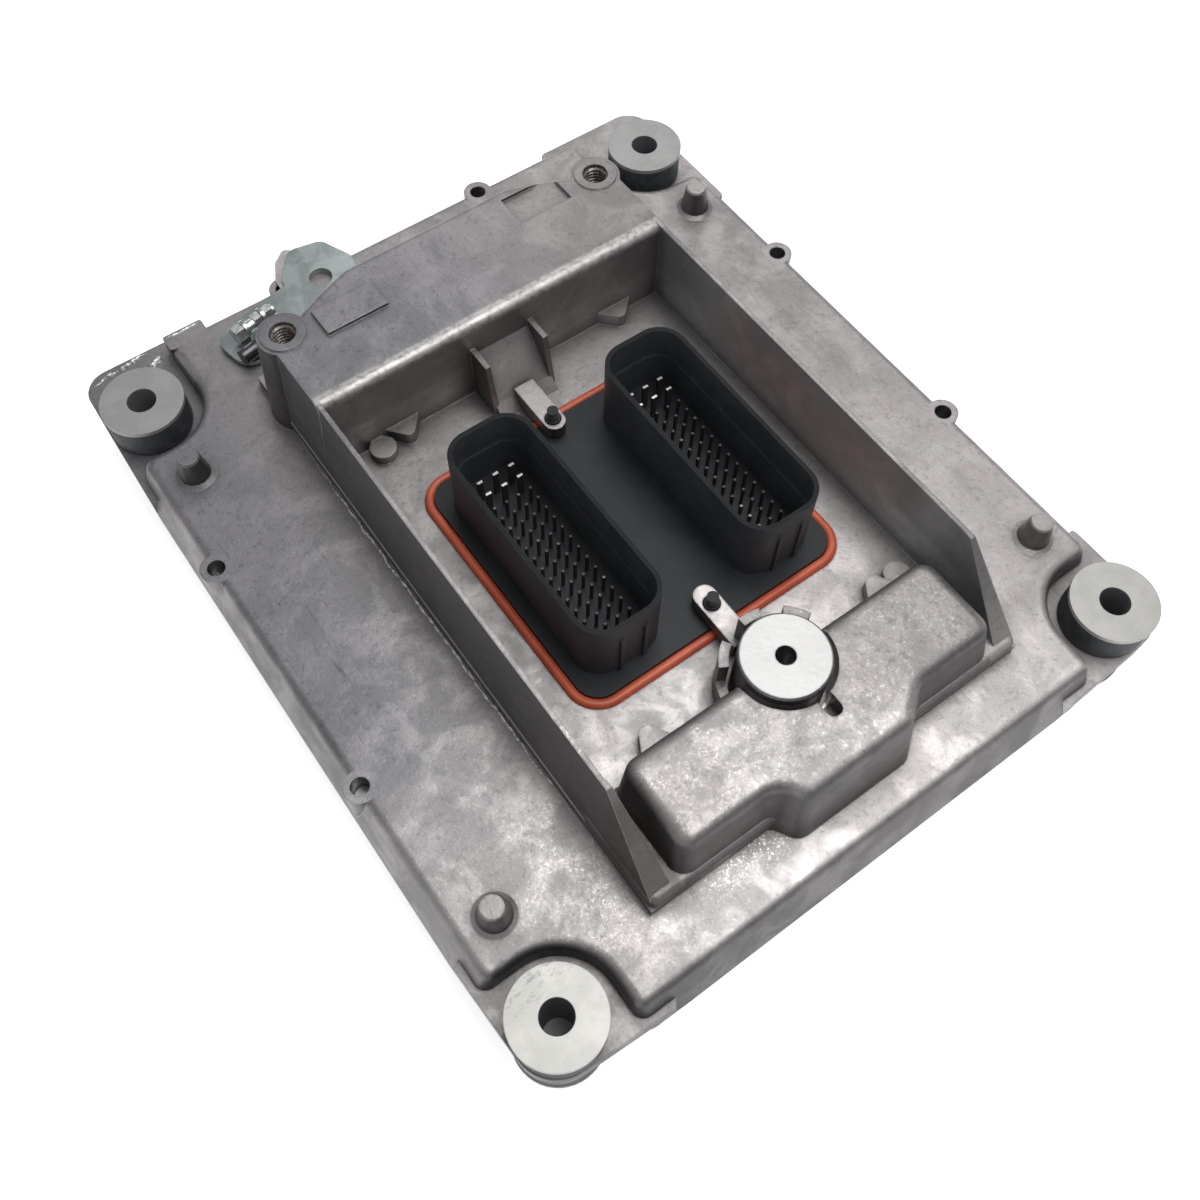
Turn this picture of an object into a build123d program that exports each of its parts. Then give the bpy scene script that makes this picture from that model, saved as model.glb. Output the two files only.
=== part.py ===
"""Engine control unit: a die-cast aluminium housing with a recessed connector well, hung on
four rubber isolators, with its base cover, connector header, circuit board and side bracket.

Millimetres, +Z up. The origin is the centre of the isolator pattern on the seating plane,
which is the underside of the lower isolator washers. +X runs along the short side and +Y
along the long side, from the low block towards the high block.
"""

import math
import os

from build123d import *

# Isolators, at the corners of the mounting pattern
pattern_x = 199.1
pattern_y = 230.0
washer_radius = 13.25
washer_thickness = 1.5
sleeve_bore_radius = 4.65
sleeve_outer_radius = 6.0
rubber_radius = 13.0
lower_rubber_height = 10.5
upper_rubber_height = 10.5
rubber_chamfer = 0.8
ear_hole_radius = 9.1
neck_clearance = 0.1
sleeve_clearance = 0.1

# Housing plan: the roof's edges, measured from the isolator centres, and the sloping walls
side_overreach = 9.75
near_overreach = 10.1
far_overreach = 19.5
wall_spread = 4.6
body_rise = 8.0
body_edge_round = 3.0
body_corner = 3.6
isolator_notch = 17.0
notch_draft = 6.0
wall = 3.0
gate_stub_x = (-82.5, -68.5)
gate_stub_reach = 3.5
gate_stub_round = 1.0

# Ears that carry the isolators, measured from the isolator centres
ear_thickness = 8.0
ear_left_reach = 12.7
ear_right_reach = 16.8
ear_near_reach = 12.6
ear_far_reach = 28.4
ear_near_corner = 12.4
ear_far_corner = 9.0
ear_tongue = 13.0
ear_shoulder = 4.0
ear_shoulder_round = 3.0
ear_tongue_taper = 3.0

# How far an added form runs into the wall or floor that carries it
root_depth = 1.0

# Cover screws, their lugs outside the wall and blind bosses inside it
lug_inset = 0.8
side_lug_y = (-34.1, 49.4)
end_lug_x = 39.25
lug_radius = 5.0
lug_hole_radius = 2.75
blind_boss_inset = 5.5
screw_radius = 2.5
thread_clearance = 0.05
screw_engagement = 9.0
screw_head_radius = 4.6
screw_head_height = 3.5
screw_socket_radius = 2.2
screw_socket_depth = 2.0
screw_tip_clearance = 1.0

# Locating posts on the roof
post_inset = 11.25
post_y = (-84.5, 83.0)
post_base_radius = 5.0
post_top_radius = 3.6
post_height = 9.5
post_foot_radius = 6.4
post_foot_height = 0.8
post_chamfer = 0.5

# Tower: two side ribs, a floor between them and a high block at the far end
tower_half_x = 65.3
tower_near_y = -108.2
plinth_corner = 3.0
plinth_round = 2.4
tower_rise = 34.0
well_rise = 4.0
slot_rise = 8.0
rib_foot_width = 4.7
rib_rim_width = 1.4
rib_level_near_y = -83.0
rib_nose_y = -106.5
rib_nose_rise = 7.0
rib_nose_width = 3.1
well_far_y = 57.0
far_block_base_y = 102.0
far_block_draft = 5.2
far_block_round = 2.5
far_block_shoulder_x = 43.0
far_block_shoulder_drop = 4.5

# Threaded M8 holes in the far block's shoulders
m8_x = 57.0
m8_y = 87.0
m8_radius = 4.0
m8_depth = 18.0
m8_mouth_radius = 4.3
m8_mouth_depth = 0.3
m8_boss_top_radius = 8.0
m8_boss_base_radius = 11.0
m8_ring_radius = 6.9
m8_ring_height = 0.5
m8_core_radius = 7.5

# Label fields on the far block: one raised and one sunk
raised_field = (-46.3, -25.6, 78.4, 88.8)
sunk_field = (25.8, 45.0, 83.2, 95.0)
field_step = 1.2

# Near block
near_block_half_x = 56.8
near_block_rise = 24.0
near_block_wall_y = -76.5
near_block_face_y = -108.0
bulge_face_y = -115.6
bulge_left_x = (-25.5, -21.0)
bulge_right_x = (17.5, 27.5)
near_block_draft = 9.0
near_block_round = 4.0
near_block_corner = 5.0
bulge_corner = 4.0

# Round boss with a machined top, in a pocket of the near block
boss_y = -78.6
boss_radius = 12.9
boss_overtop = 2.8
boss_chamfer = 0.6
boss_bore_radius = 2.9
boss_bore_depth = 18.0
pocket_radius = 14.6
collar_radius = 17.4
collar_arcs = ((24.0, 50.0, 18.0), (73.0, 95.0, 18.0), (122.0, 149.0, 18.0), (148.0, 166.0, 9.0))
drain_slot_x = 1.6
drain_slot_width = 4.8
drain_slot_corner = 2.1
drain_slot_end_y = -99.0
drain_slot_depth = 7.0

# Fins and pads on the well floor
gusset_x = 10.5
gusset_thickness = 1.8
gusset_top_rise = 20.0
gusset_top_y = 48.4
gusset_foot_y = 45.0
ramp_rise = (17.5, 4.0)
ramp_foot_y = 46.0
pad_rise = 5.0
pad_tip_round = 2.5
far_pads = ((-38.0, 6.5, 7.0, 50.0), (43.0, 7.0, 7.5, 50.5))
near_pads = ((-38.0, 7.2, 7.5, -65.0), (43.2, 7.2, 7.7, -66.2))
round_pads = ((-47.25, 53.2), (51.95, -71.8))
round_pad_radius = 4.2
round_pad_rise = 3.4

# Arms over the connector header
arm_width = 7.0
arm_rise = 7.0
arm_clearance = 0.6
far_arm_tip_y = 25.4
near_arm_tip_y = -42.9
far_arm_post_y = 29.7
near_arm_post_y = -49.4
arm_hole_radius = 2.7

# Connector header
window_half_x = 48.15
window_near_y = -56.8
window_far_y = 36.0
window_corner = 10.5
seal_width = 3.15
seal_rise = 1.7
seal_chamfer = 0.9
header_rise = 1.8
header_rim = 4.0
header_rim_thickness = 3.0
header_leg_radius = 3.0
shroud_x = 27.6
shroud_width = 27.3
shroud_near_y = -48.7
shroud_far_y = 28.3
shroud_corner = 9.0
shroud_wall = 1.4
shroud_rim_rise = 27.0
shroud_ledge = 0.7
shroud_ledge_drop = 11.0
shroud_floor_rise = 3.0
shroud_rib = (1.2, 0.8, 20.0)
shroud_rib_offsets = (-4.0, 4.0)
header_post_radius = 2.4
header_post_rise = 0.5
header_nub_radius = 1.8
header_nub_height = 3.6

# Contacts
signal_pin = 0.8
signal_columns = 4
signal_rows = 14
signal_pitch_x = 4.2
signal_pitch_y = 4.1
signal_first_y = 10.5
signal_tip_rise = 11.0
power_pin = (1.8, 0.8)
power_columns = 3
power_rows = 2
power_pitch_x = 5.5
power_pitch_y = 4.7
power_first_y = 19.4
power_tip_rise = 13.0

# Base cover and gasket
cover_inset = 0.4
cover_thickness = 3.0
gasket_thickness = 1.0
cover_rib_height = 4.0
cover_rib_width = 3.0
cover_rib_count = 5
cover_rib_pitch = 34.0
cover_rib_inset = 30.0
cover_corner = 5.0

# Circuit board and what it carries
board_thickness = 1.6
board_drop = 8.0
board_gap = 4.0
board_lug_gap = 1.0
board_boss_radius = 4.0
board_screw_radius = 1.5
board_screw_head_radius = 2.8
board_screw_head_height = 1.8
board_screw_length = 8.5
board_edge_screws = ((68.0, 121.0),)
pad_thickness = 0.6
processor_size = (28.0, 28.0, 2.2)
processor_place = (-80.0, -16.0)
memory_size = (20.0, 14.0, 1.2)
memory_place = (-80.0, 26.0)
crystal_size = (11.5, 4.8, 3.6)
crystal_place = (-80.0, -40.0)
transistor_size = (10.0, 9.0, 4.4)
transistor_x = 84.0
transistor_first_y = -66.0
transistor_pitch = 16.0
transistor_count = 9
large_capacitor_radius = 9.0
large_capacitor_height = 34.0
large_capacitor_x = (-38.0, -14.0)
far_component_y = 77.0
inductor_radius = 11.0
inductor_core_radius = 7.0
inductor_height = 18.0
inductor_flange = 3.0
inductor_x = 18.0
small_capacitor_radius = 6.0
small_capacitor_height = 22.0
small_capacitor_x = (-40.0, -26.0, 26.0, 40.0)
small_capacitor_y = -92.0

# Side bracket, clamped layers lying on the roof beside the far block
bracket_turn = 12.0
bracket_pivot = (-56.3, 120.0)
bracket_thickness = 1.5
backing_thickness = 1.0
strip_reach = (-12.0, 24.0)
strip_width = (-10.0, 8.5)
strip_end_round = 7.0
backing_strip_inset = (3.0, 2.0)
backing_strip_round = 4.0
plate_outline = (
    (-42.0, 108.0),
    (-16.0, 114.0),
    (-13.8, 131.5),
    (-19.0, 143.2),
    (-30.6, 145.6),
    (-38.6, 136.0),
)
plate_rounds = (3.0, 4.0, 5.0, 4.0, 4.5, 5.0)
backing_outline = (
    (-40.0, 110.0),
    (-18.0, 112.0),
    (-16.0, 130.0),
    (-22.0, 141.0),
    (-31.4, 148.4),
    (-36.4, 144.6),
    (-40.4, 137.0),
)
backing_rounds = (3.0, 3.0, 4.0, 4.0, 1.6, 2.0, 2.0)
bracket_hole = (-27.2, 128.8)
bracket_hole_radius = 3.9
clamp_axis_rise = 4.2
clamp_screw_radius = 2.0
clamp_hole_clearance = 0.1
clamp_ear_u = (-3.6, 3.6)
clamp_ear_thickness = 1.2
clamp_ear_radius = 3.2
clamp_head_radius = 3.1
clamp_head_length = 3.6
clamp_nut_radius = 2.9
clamp_nut_length = 3.0
clamp_tail = 1.0
stop_pin_radius = 2.6
stop_pin_length = 6.6
stop_pin_place = (-7.8, -7.2)

# Plan limits that follow from the sizes above
body_half_x = pattern_x / 2 + side_overreach
body_near_y = -pattern_y / 2 - near_overreach
body_far_y = pattern_y / 2 + far_overreach
base_half_x = body_half_x + wall_spread
base_near_y = body_near_y - wall_spread
base_far_y = body_far_y + wall_spread
notch_x = pattern_x / 2 - isolator_notch
notch_y = pattern_y / 2 - isolator_notch
notch_spread = body_rise * math.tan(math.radians(notch_draft))
post_x = body_half_x - post_inset
rib_inner_x = tower_half_x - rib_foot_width
rib_rim_outer_x = rib_inner_x + rib_rim_width
rib_wedge_x = rib_inner_x - rib_nose_width

# Levels that follow from the sizes above
z_flange = washer_thickness + lower_rubber_height
z_ledge = z_flange + ear_thickness
z_roof = z_ledge + body_rise
z_ceiling = z_roof - wall
z_well = z_roof + well_rise
z_well_under = z_well - wall
z_tower = z_roof + tower_rise
z_near_block = z_roof + near_block_rise
z_board = z_roof - board_drop
z_board_under = z_board - board_thickness
z_cover_top = z_flange - gasket_thickness
z_cover_under = z_cover_top - cover_thickness
z_upper_washer = z_ledge + upper_rubber_height
z_arm = z_well + arm_rise
z_header = z_well + header_rise
z_header_under = z_well_under - header_rim_thickness
z_shroud_floor = z_well + shroud_floor_rise
z_shroud_rim = z_well + shroud_rim_rise

corner_names = {
    "front_left": (-1, -1),
    "front_right": (1, -1),
    "rear_left": (-1, 1),
    "rear_right": (1, 1),
}


def isolator_point(sign_x, sign_y):
    """Centre of the isolator at one corner."""
    return sign_x * pattern_x / 2, sign_y * pattern_y / 2


def lug_points():
    """Centres of the screw lugs on the long sides and the far end."""
    side_x = body_half_x - lug_inset
    sides = [(sign * side_x, y) for sign in (-1, 1) for y in side_lug_y]
    return sides + [(sign * end_lug_x, body_far_y - lug_inset) for sign in (-1, 1)]


def blind_points():
    """Centres of the blind screw bosses inside the near wall."""
    return [(sign * end_lug_x, body_near_y + blind_boss_inset) for sign in (-1, 1)]


def board_screw_points():
    """Screws of the circuit board: under the four posts and along the edges."""
    under_posts = [(sign * post_x, y) for sign in (-1, 1) for y in post_y]
    return under_posts + [(sign * x, y) for sign in (-1, 1) for x, y in board_edge_screws]


def disc(x, y, radius, bottom, top):
    """Upright cylinder between two levels."""
    return Pos(x, y, bottom) * extrude(Circle(radius), amount=top - bottom)


def slab(outline, bottom, top):
    """Flat outline drawn at z = 0, raised between two levels."""
    return Pos(0, 0, bottom) * extrude(outline, amount=top - bottom)


def rectangle(x_low, x_high, y_low, y_high, corner=0.0):
    """Rectangle given by its limits, with equal corner radii."""
    points = [(x_low, y_low), (x_high, y_low), (x_high, y_high), (x_low, y_high)]
    if corner:
        return make_face(FilletPolyline(*points, radius=corner, close=True))
    return make_face(Polyline(*points, close=True))


def polygon(points, radii=None):
    """Closed outline through the points, with a radius for each corner."""
    if radii:
        return make_face(FilletPolyline(*points, radius=list(radii), close=True))
    return make_face(Polyline(*points, close=True))


def across(points, x_low, x_high):
    """Profile drawn in the YZ plane and carried along X."""
    profile = make_face(Polyline(*[(x_low, y, z) for y, z in points], close=True))
    return extrude(profile, amount=x_high - x_low, dir=(1, 0, 0))


def notched_outline(half_x, near_y, far_y, notch, corner):
    """Rectangle with a round-bottomed notch of the same radius round each isolator."""
    inner_x = pattern_x / 2 - notch
    inner_y = pattern_y / 2 - notch
    points = [
        (-inner_x, near_y),
        (inner_x, near_y),
        (inner_x, -inner_y),
        (half_x, -inner_y),
        (half_x, inner_y),
        (inner_x, inner_y),
        (inner_x, far_y),
        (-inner_x, far_y),
        (-inner_x, inner_y),
        (-half_x, inner_y),
        (-half_x, -inner_y),
        (-inner_x, -inner_y),
    ]
    radii = [corner, corner, notch, corner, corner, notch] * 2
    return polygon(points, radii)


def base_outline():
    """Foot of the housing in plan: its walls at the cover joint and the four ears."""
    tongue_x = notch_x - ear_tongue
    tongue_y = notch_y - ear_tongue
    left = -pattern_x / 2 - ear_left_reach
    right = pattern_x / 2 + ear_right_reach
    near = -pattern_y / 2 - ear_near_reach
    far = pattern_y / 2 + ear_far_reach
    shoulder = ear_shoulder_round
    corners = [
        (-tongue_x, base_near_y, 0),
        (tongue_x, base_near_y, 0),
        (right, near, ear_near_corner),
        (right, -tongue_y - ear_shoulder, shoulder),
        (base_half_x, -tongue_y, shoulder),
        (base_half_x, tongue_y, shoulder),
        (right, tongue_y + ear_shoulder, shoulder),
        (right, far, ear_far_corner),
        (tongue_x + ear_shoulder, far, shoulder),
        (tongue_x, base_far_y, shoulder),
        (-tongue_x, base_far_y, shoulder),
        (-tongue_x - ear_shoulder, far, shoulder),
        (left, far, ear_far_corner),
        (-base_half_x, tongue_y, 0),
        (-base_half_x, -tongue_y, 0),
        (left, near, ear_near_corner),
    ]
    return polygon([(x, y) for x, y, radius in corners], [radius for x, y, radius in corners])


def ears():
    """Four flat ears, each with tongues that run out along the walls beside its isolator."""
    end_x = notch_x - ear_tongue
    end_y = notch_y - ear_tongue
    spread = ear_tongue_taper
    ends = polygon(
        [
            (-end_x, body_near_y),
            (-end_x - spread, base_near_y),
            (-end_x - spread, 2 * base_near_y),
            (end_x + spread, 2 * base_near_y),
            (end_x + spread, base_near_y),
            (end_x, body_near_y),
            (end_x, body_far_y),
            (end_x + spread, base_far_y),
            (end_x + spread, 2 * base_far_y),
            (-end_x - spread, 2 * base_far_y),
            (-end_x - spread, base_far_y),
            (-end_x, body_far_y),
        ]
    )
    sides = polygon(
        [
            (-body_half_x, -end_y),
            (body_half_x, -end_y),
            (base_half_x, -end_y - spread),
            (2 * base_half_x, -end_y - spread),
            (2 * base_half_x, end_y + spread),
            (base_half_x, end_y + spread),
            (body_half_x, end_y),
            (-body_half_x, end_y),
            (-base_half_x, end_y + spread),
            (-2 * base_half_x, end_y + spread),
            (-2 * base_half_x, -end_y - spread),
            (-base_half_x, -end_y - spread),
        ]
    )
    return slab(base_outline() - ends - sides, z_flange, z_ledge)


def sloping_body():
    """Body from the cover joint to the roof: sloping walls, a notch above each ear."""
    height = z_roof - z_flange
    draft = math.degrees(math.atan(wall_spread / height))
    base = rectangle(-base_half_x, base_half_x, base_near_y, base_far_y)
    body = Pos(0, 0, z_flange) * extrude(base, amount=height, taper=draft)
    body &= slab(base_outline(), z_flange, z_roof)
    body -= [isolator_recess(*signs) for signs in corner_names.values()]

    def is_wall_corner(edge):
        middle = edge.center()
        on_wall = (
            abs(middle.X) > body_half_x
            or middle.Y < body_near_y
            or middle.Y > body_far_y
        )
        return on_wall and middle.Z > z_ledge and abs(edge.tangent_at(0.5).Z) > 0.5

    body = fillet(body.edges().filter_by(is_wall_corner), body_corner)
    return fillet(body.edges().group_by(Axis.Z)[-1], body_edge_round)


def isolator_recess(sign_x, sign_y):
    """Room for one isolator above its ear, round towards the middle of the housing."""
    outer_x = base_half_x + isolator_notch
    outer_y = base_far_y + isolator_notch
    points = [(notch_x, notch_y), (outer_x, notch_y), (outer_x, outer_y), (notch_x, outer_y)]
    outline = polygon([(sign_x * x, sign_y * y) for x, y in points], [isolator_notch, 0, 0, 0])
    return Pos(0, 0, z_ledge) * extrude(outline, amount=body_rise, taper=-notch_draft)


def locating_post(x, y):
    """Tapered post on the roof, standing on a low round foot."""
    top = z_roof + post_height
    profile = polygon(
        [
            (0, z_roof),
            (post_foot_radius, z_roof),
            (post_base_radius, z_roof + post_foot_height),
            (post_top_radius, top - post_chamfer),
            (post_top_radius - post_chamfer, top),
            (0, top),
        ]
    )
    upright = Plane.XZ * profile
    return Pos(x, y, 0) * revolve(upright, Axis.Z)


def tower_base():
    """Low plinth that carries the well floor, the ribs and both blocks."""
    outline = rectangle(-tower_half_x, tower_half_x, tower_near_y, far_block_base_y)
    return slab(outline, z_ceiling, z_well)


def near_plinth():
    """Low step round the foot of the near block, with rounded corners and edges."""
    outline = rectangle(
        -tower_half_x, tower_half_x, tower_near_y, near_block_wall_y, plinth_corner
    )
    step = slab(outline, z_roof, z_roof + slot_rise)
    step = fillet(step.edges().group_by(Axis.Z)[-1], plinth_round)
    return step - disc(0, boss_y, pocket_radius, z_well, z_near_block)


def side_rib(sign):
    """Wall along one side of the well, thick at its foot, sloping down at its near end."""
    profile = [
        (rib_inner_x, z_roof),
        (tower_half_x, z_roof),
        (rib_rim_outer_x, z_tower),
        (rib_inner_x, z_tower),
    ]
    section = make_face(Polyline(*[(sign * x, well_far_y + wall, z) for x, z in profile], close=True))
    length = well_far_y + wall - tower_near_y
    rib = extrude(section, amount=length, dir=(0, -1, 0))
    wedge = polygon(
        [
            (sign * rib_inner_x, rib_level_near_y + wall),
            (sign * rib_wedge_x, rib_nose_y),
            (sign * rib_wedge_x, tower_near_y),
            (sign * rib_rim_outer_x, tower_near_y),
            (sign * rib_rim_outer_x, rib_level_near_y + wall),
        ]
    )
    rib += slab(wedge, z_roof, z_tower)
    side_view = [
        (well_far_y + wall, z_roof),
        (well_far_y + wall, z_tower),
        (rib_level_near_y, z_tower),
        (rib_nose_y, z_roof + rib_nose_rise),
        (tower_near_y, z_roof),
    ]
    low, high = sorted((sign * rib_wedge_x, sign * tower_half_x))
    return rib & across(side_view, low, high)


def far_form(inset, rise):
    """Tapered form of the far block above the roof, with its faces moved in by an inset."""
    shoulder = far_block_base_y - far_block_shoulder_drop
    points = [
        (-tower_half_x, 0),
        (tower_half_x, 0),
        (tower_half_x, m8_y),
        (far_block_shoulder_x, shoulder),
        (rib_inner_x / 2, far_block_base_y),
        (-rib_inner_x / 2, far_block_base_y),
        (-far_block_shoulder_x, shoulder),
        (-tower_half_x, m8_y),
    ]
    outline = polygon(points)
    if inset:
        outline = offset(outline, -inset, kind=Kind.INTERSECTION)
    form = Pos(0, 0, z_roof) * extrude(outline, amount=rise, taper=far_block_draft)
    keep = rectangle(-tower_half_x, tower_half_x, well_far_y + inset, far_block_base_y)
    return form & slab(keep, z_roof, z_tower)


def far_block():
    """High block over the power stage, with sloping flanks and rounded top edges."""
    block = far_form(0, tower_rise)
    top_edges = block.edges().group_by(Axis.Z)[-1]
    along = top_edges.filter_by(lambda edge: abs(edge.tangent_at(0.5).X) > 0.5)
    return fillet(along, far_block_round)


def screw_boss(sign):
    """Conical boss of one M8 hole with its low raised ring."""
    cone = Pos(sign * m8_x, m8_y, z_roof + tower_rise / 2) * Cone(
        m8_boss_base_radius, m8_boss_top_radius, tower_rise
    )
    return cone + disc(sign * m8_x, m8_y, m8_ring_radius, z_tower, z_tower + m8_ring_height)


def m8_hole(sign):
    """Blind hole with a small countersink."""
    top = z_tower + m8_ring_height
    hole = disc(sign * m8_x, m8_y, m8_radius, top - m8_depth, top)
    mouth = Pos(sign * m8_x, m8_y, top - m8_mouth_depth / 2) * Cone(
        m8_radius, m8_mouth_radius, m8_mouth_depth
    )
    return hole + mouth


def near_form(inset, rise):
    """Tapered form of the near block, stepped and bulging, with its faces moved in."""
    points = [
        (-near_block_half_x, near_block_face_y),
        (bulge_left_x[0], near_block_face_y),
        (bulge_left_x[1], bulge_face_y),
        (bulge_right_x[0], bulge_face_y),
        (bulge_right_x[1], near_block_face_y),
        (near_block_half_x, near_block_face_y),
        (near_block_half_x, 0),
        (-near_block_half_x, 0),
    ]
    outline = polygon(points, [0, bulge_corner, 0, 0, bulge_corner, 0, 0, 0])
    if inset:
        outline = offset(outline, -inset, kind=Kind.INTERSECTION)
    form = Pos(0, 0, z_roof) * extrude(outline, amount=rise, taper=near_block_draft)
    far_limit = near_block_wall_y - inset
    keep = rectangle(-near_block_half_x, near_block_half_x, bulge_face_y, far_limit)
    return form & slab(keep, z_roof, z_near_block)


def near_block():
    """Low block with rounded corners and edges, and a round pocket for the boss."""
    block = near_form(0, near_block_rise)

    def is_outer_corner(edge):
        middle = edge.center()
        at_side = near_block_half_x - abs(middle.X) < near_block_corner
        at_bulge = middle.Y - bulge_face_y < near_block_corner / 2
        return abs(edge.tangent_at(0.5).Z) > 0.6 and (at_side or at_bulge)

    block = fillet(block.edges().filter_by(is_outer_corner), near_block_corner)
    block = fillet(block.edges().group_by(Axis.Z)[-1], near_block_round)
    block -= disc(0, boss_y, pocket_radius, z_well, z_near_block)
    half = drain_slot_width / 2
    slot = rectangle(
        drain_slot_x - half,
        drain_slot_x + half,
        drain_slot_end_y,
        boss_y - boss_radius,
        drain_slot_corner,
    )
    return block - slab(slot, z_near_block - drain_slot_depth, z_near_block)


def collar_sector(start, end, rise):
    """Arc-shaped fin round the boss pocket, from the well floor up."""
    ring = Circle(collar_radius) - Circle(pocket_radius)
    reach = 2 * collar_radius
    middle = math.radians((start + end) / 2)
    corners = [(0, 0)]
    for angle in (math.radians(start), middle, math.radians(end)):
        corners.append((reach * math.cos(angle), reach * math.sin(angle)))
    sector = ring & polygon(corners)
    return Pos(0, boss_y, z_well) * extrude(sector, amount=rise)


def round_boss():
    """Thick boss with a machined top that stands a little above the near block."""
    top = z_near_block + boss_overtop
    boss = disc(0, boss_y, boss_radius, z_ceiling, top)
    return chamfer(boss.edges().group_by(Axis.Z)[-1], boss_chamfer)


def tip_pad(centre_x, half_left, half_right, tip_y, wall_y):
    """Pointed pad on the well floor, with its base on a wall and a rounded tip."""
    outline = polygon(
        [(centre_x - half_left, wall_y), (centre_x + half_right, wall_y), (centre_x, tip_y)],
        [0, 0, pad_tip_round],
    )
    return slab(outline, z_well - root_depth, z_well + pad_rise)


def arm(tip_y, root_y, post_y_centre):
    """Tongue that holds the header down, with a hole for the header's post."""
    inward = math.copysign(arm_width / 2, root_y - tip_y)
    outline = Pos(0, tip_y + inward) * Circle(arm_width / 2)
    outline += rectangle(-arm_width / 2, arm_width / 2, *sorted((tip_y + inward, root_y)))
    tongue = slab(outline, z_header + arm_clearance, z_arm)
    return tongue - disc(0, post_y_centre, arm_hole_radius, z_well, z_arm)


def arm_foot(low, high):
    """Solid stretch of an arm down to the well floor, beyond the window."""
    outline = rectangle(-arm_width / 2, arm_width / 2, low, high)
    return slab(outline, z_well - root_depth, z_arm)


def gussets():
    """Two thin gussets and the ramp between them, at the foot of the well's far wall."""
    top = z_well + gusset_top_rise
    root_y = well_far_y + root_depth
    root_z = z_well - root_depth
    profile = [
        (root_y, root_z),
        (root_y, top),
        (gusset_top_y, top),
        (gusset_foot_y, z_well),
        (gusset_foot_y, root_z),
    ]
    half = gusset_thickness / 2
    fins = [across(profile, side * gusset_x - half, side * gusset_x + half) for side in (-1, 1)]
    ramp = across(
        [
            (root_y, root_z),
            (root_y, z_well + ramp_rise[0]),
            (well_far_y, z_well + ramp_rise[0]),
            (ramp_foot_y, z_well + ramp_rise[1]),
            (ramp_foot_y - ramp_rise[1], z_well),
            (ramp_foot_y - ramp_rise[1], root_z),
        ],
        -gusset_x,
        gusset_x,
    )
    return fins + [ramp]


def inner_outline(gap=0.0):
    """Inner face of the outer walls in plan, or a line at some gap inside it."""
    inset = wall + gap
    return notched_outline(
        body_half_x - inset,
        body_near_y + inset,
        body_far_y - inset,
        isolator_notch + notch_spread + inset,
        body_corner,
    )


def hollow():
    """Space inside the housing, one wall thickness within its outer form."""
    main = slab(inner_outline(), z_flange, z_ceiling)
    under_well = slab(
        rectangle(
            -tower_half_x + wall,
            tower_half_x - wall,
            tower_near_y + wall,
            far_block_base_y - wall,
        ),
        z_ceiling,
        z_well_under,
    )
    in_near_block = near_form(wall, near_block_rise - wall)
    in_near_block -= disc(0, boss_y, pocket_radius + wall, z_roof, z_near_block)
    in_near_block -= slab(
        rectangle(
            drain_slot_x - drain_slot_width,
            drain_slot_x + drain_slot_width,
            drain_slot_end_y - wall,
            boss_y,
        ),
        z_near_block - drain_slot_depth - wall,
        z_near_block,
    )
    in_far_block = far_form(wall, tower_rise - wall - field_step)
    in_far_block -= [
        disc(side * m8_x, m8_y, m8_core_radius, z_roof, z_tower) for side in (-1, 1)
    ]
    return main + [under_well, in_near_block, in_far_block]


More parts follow.
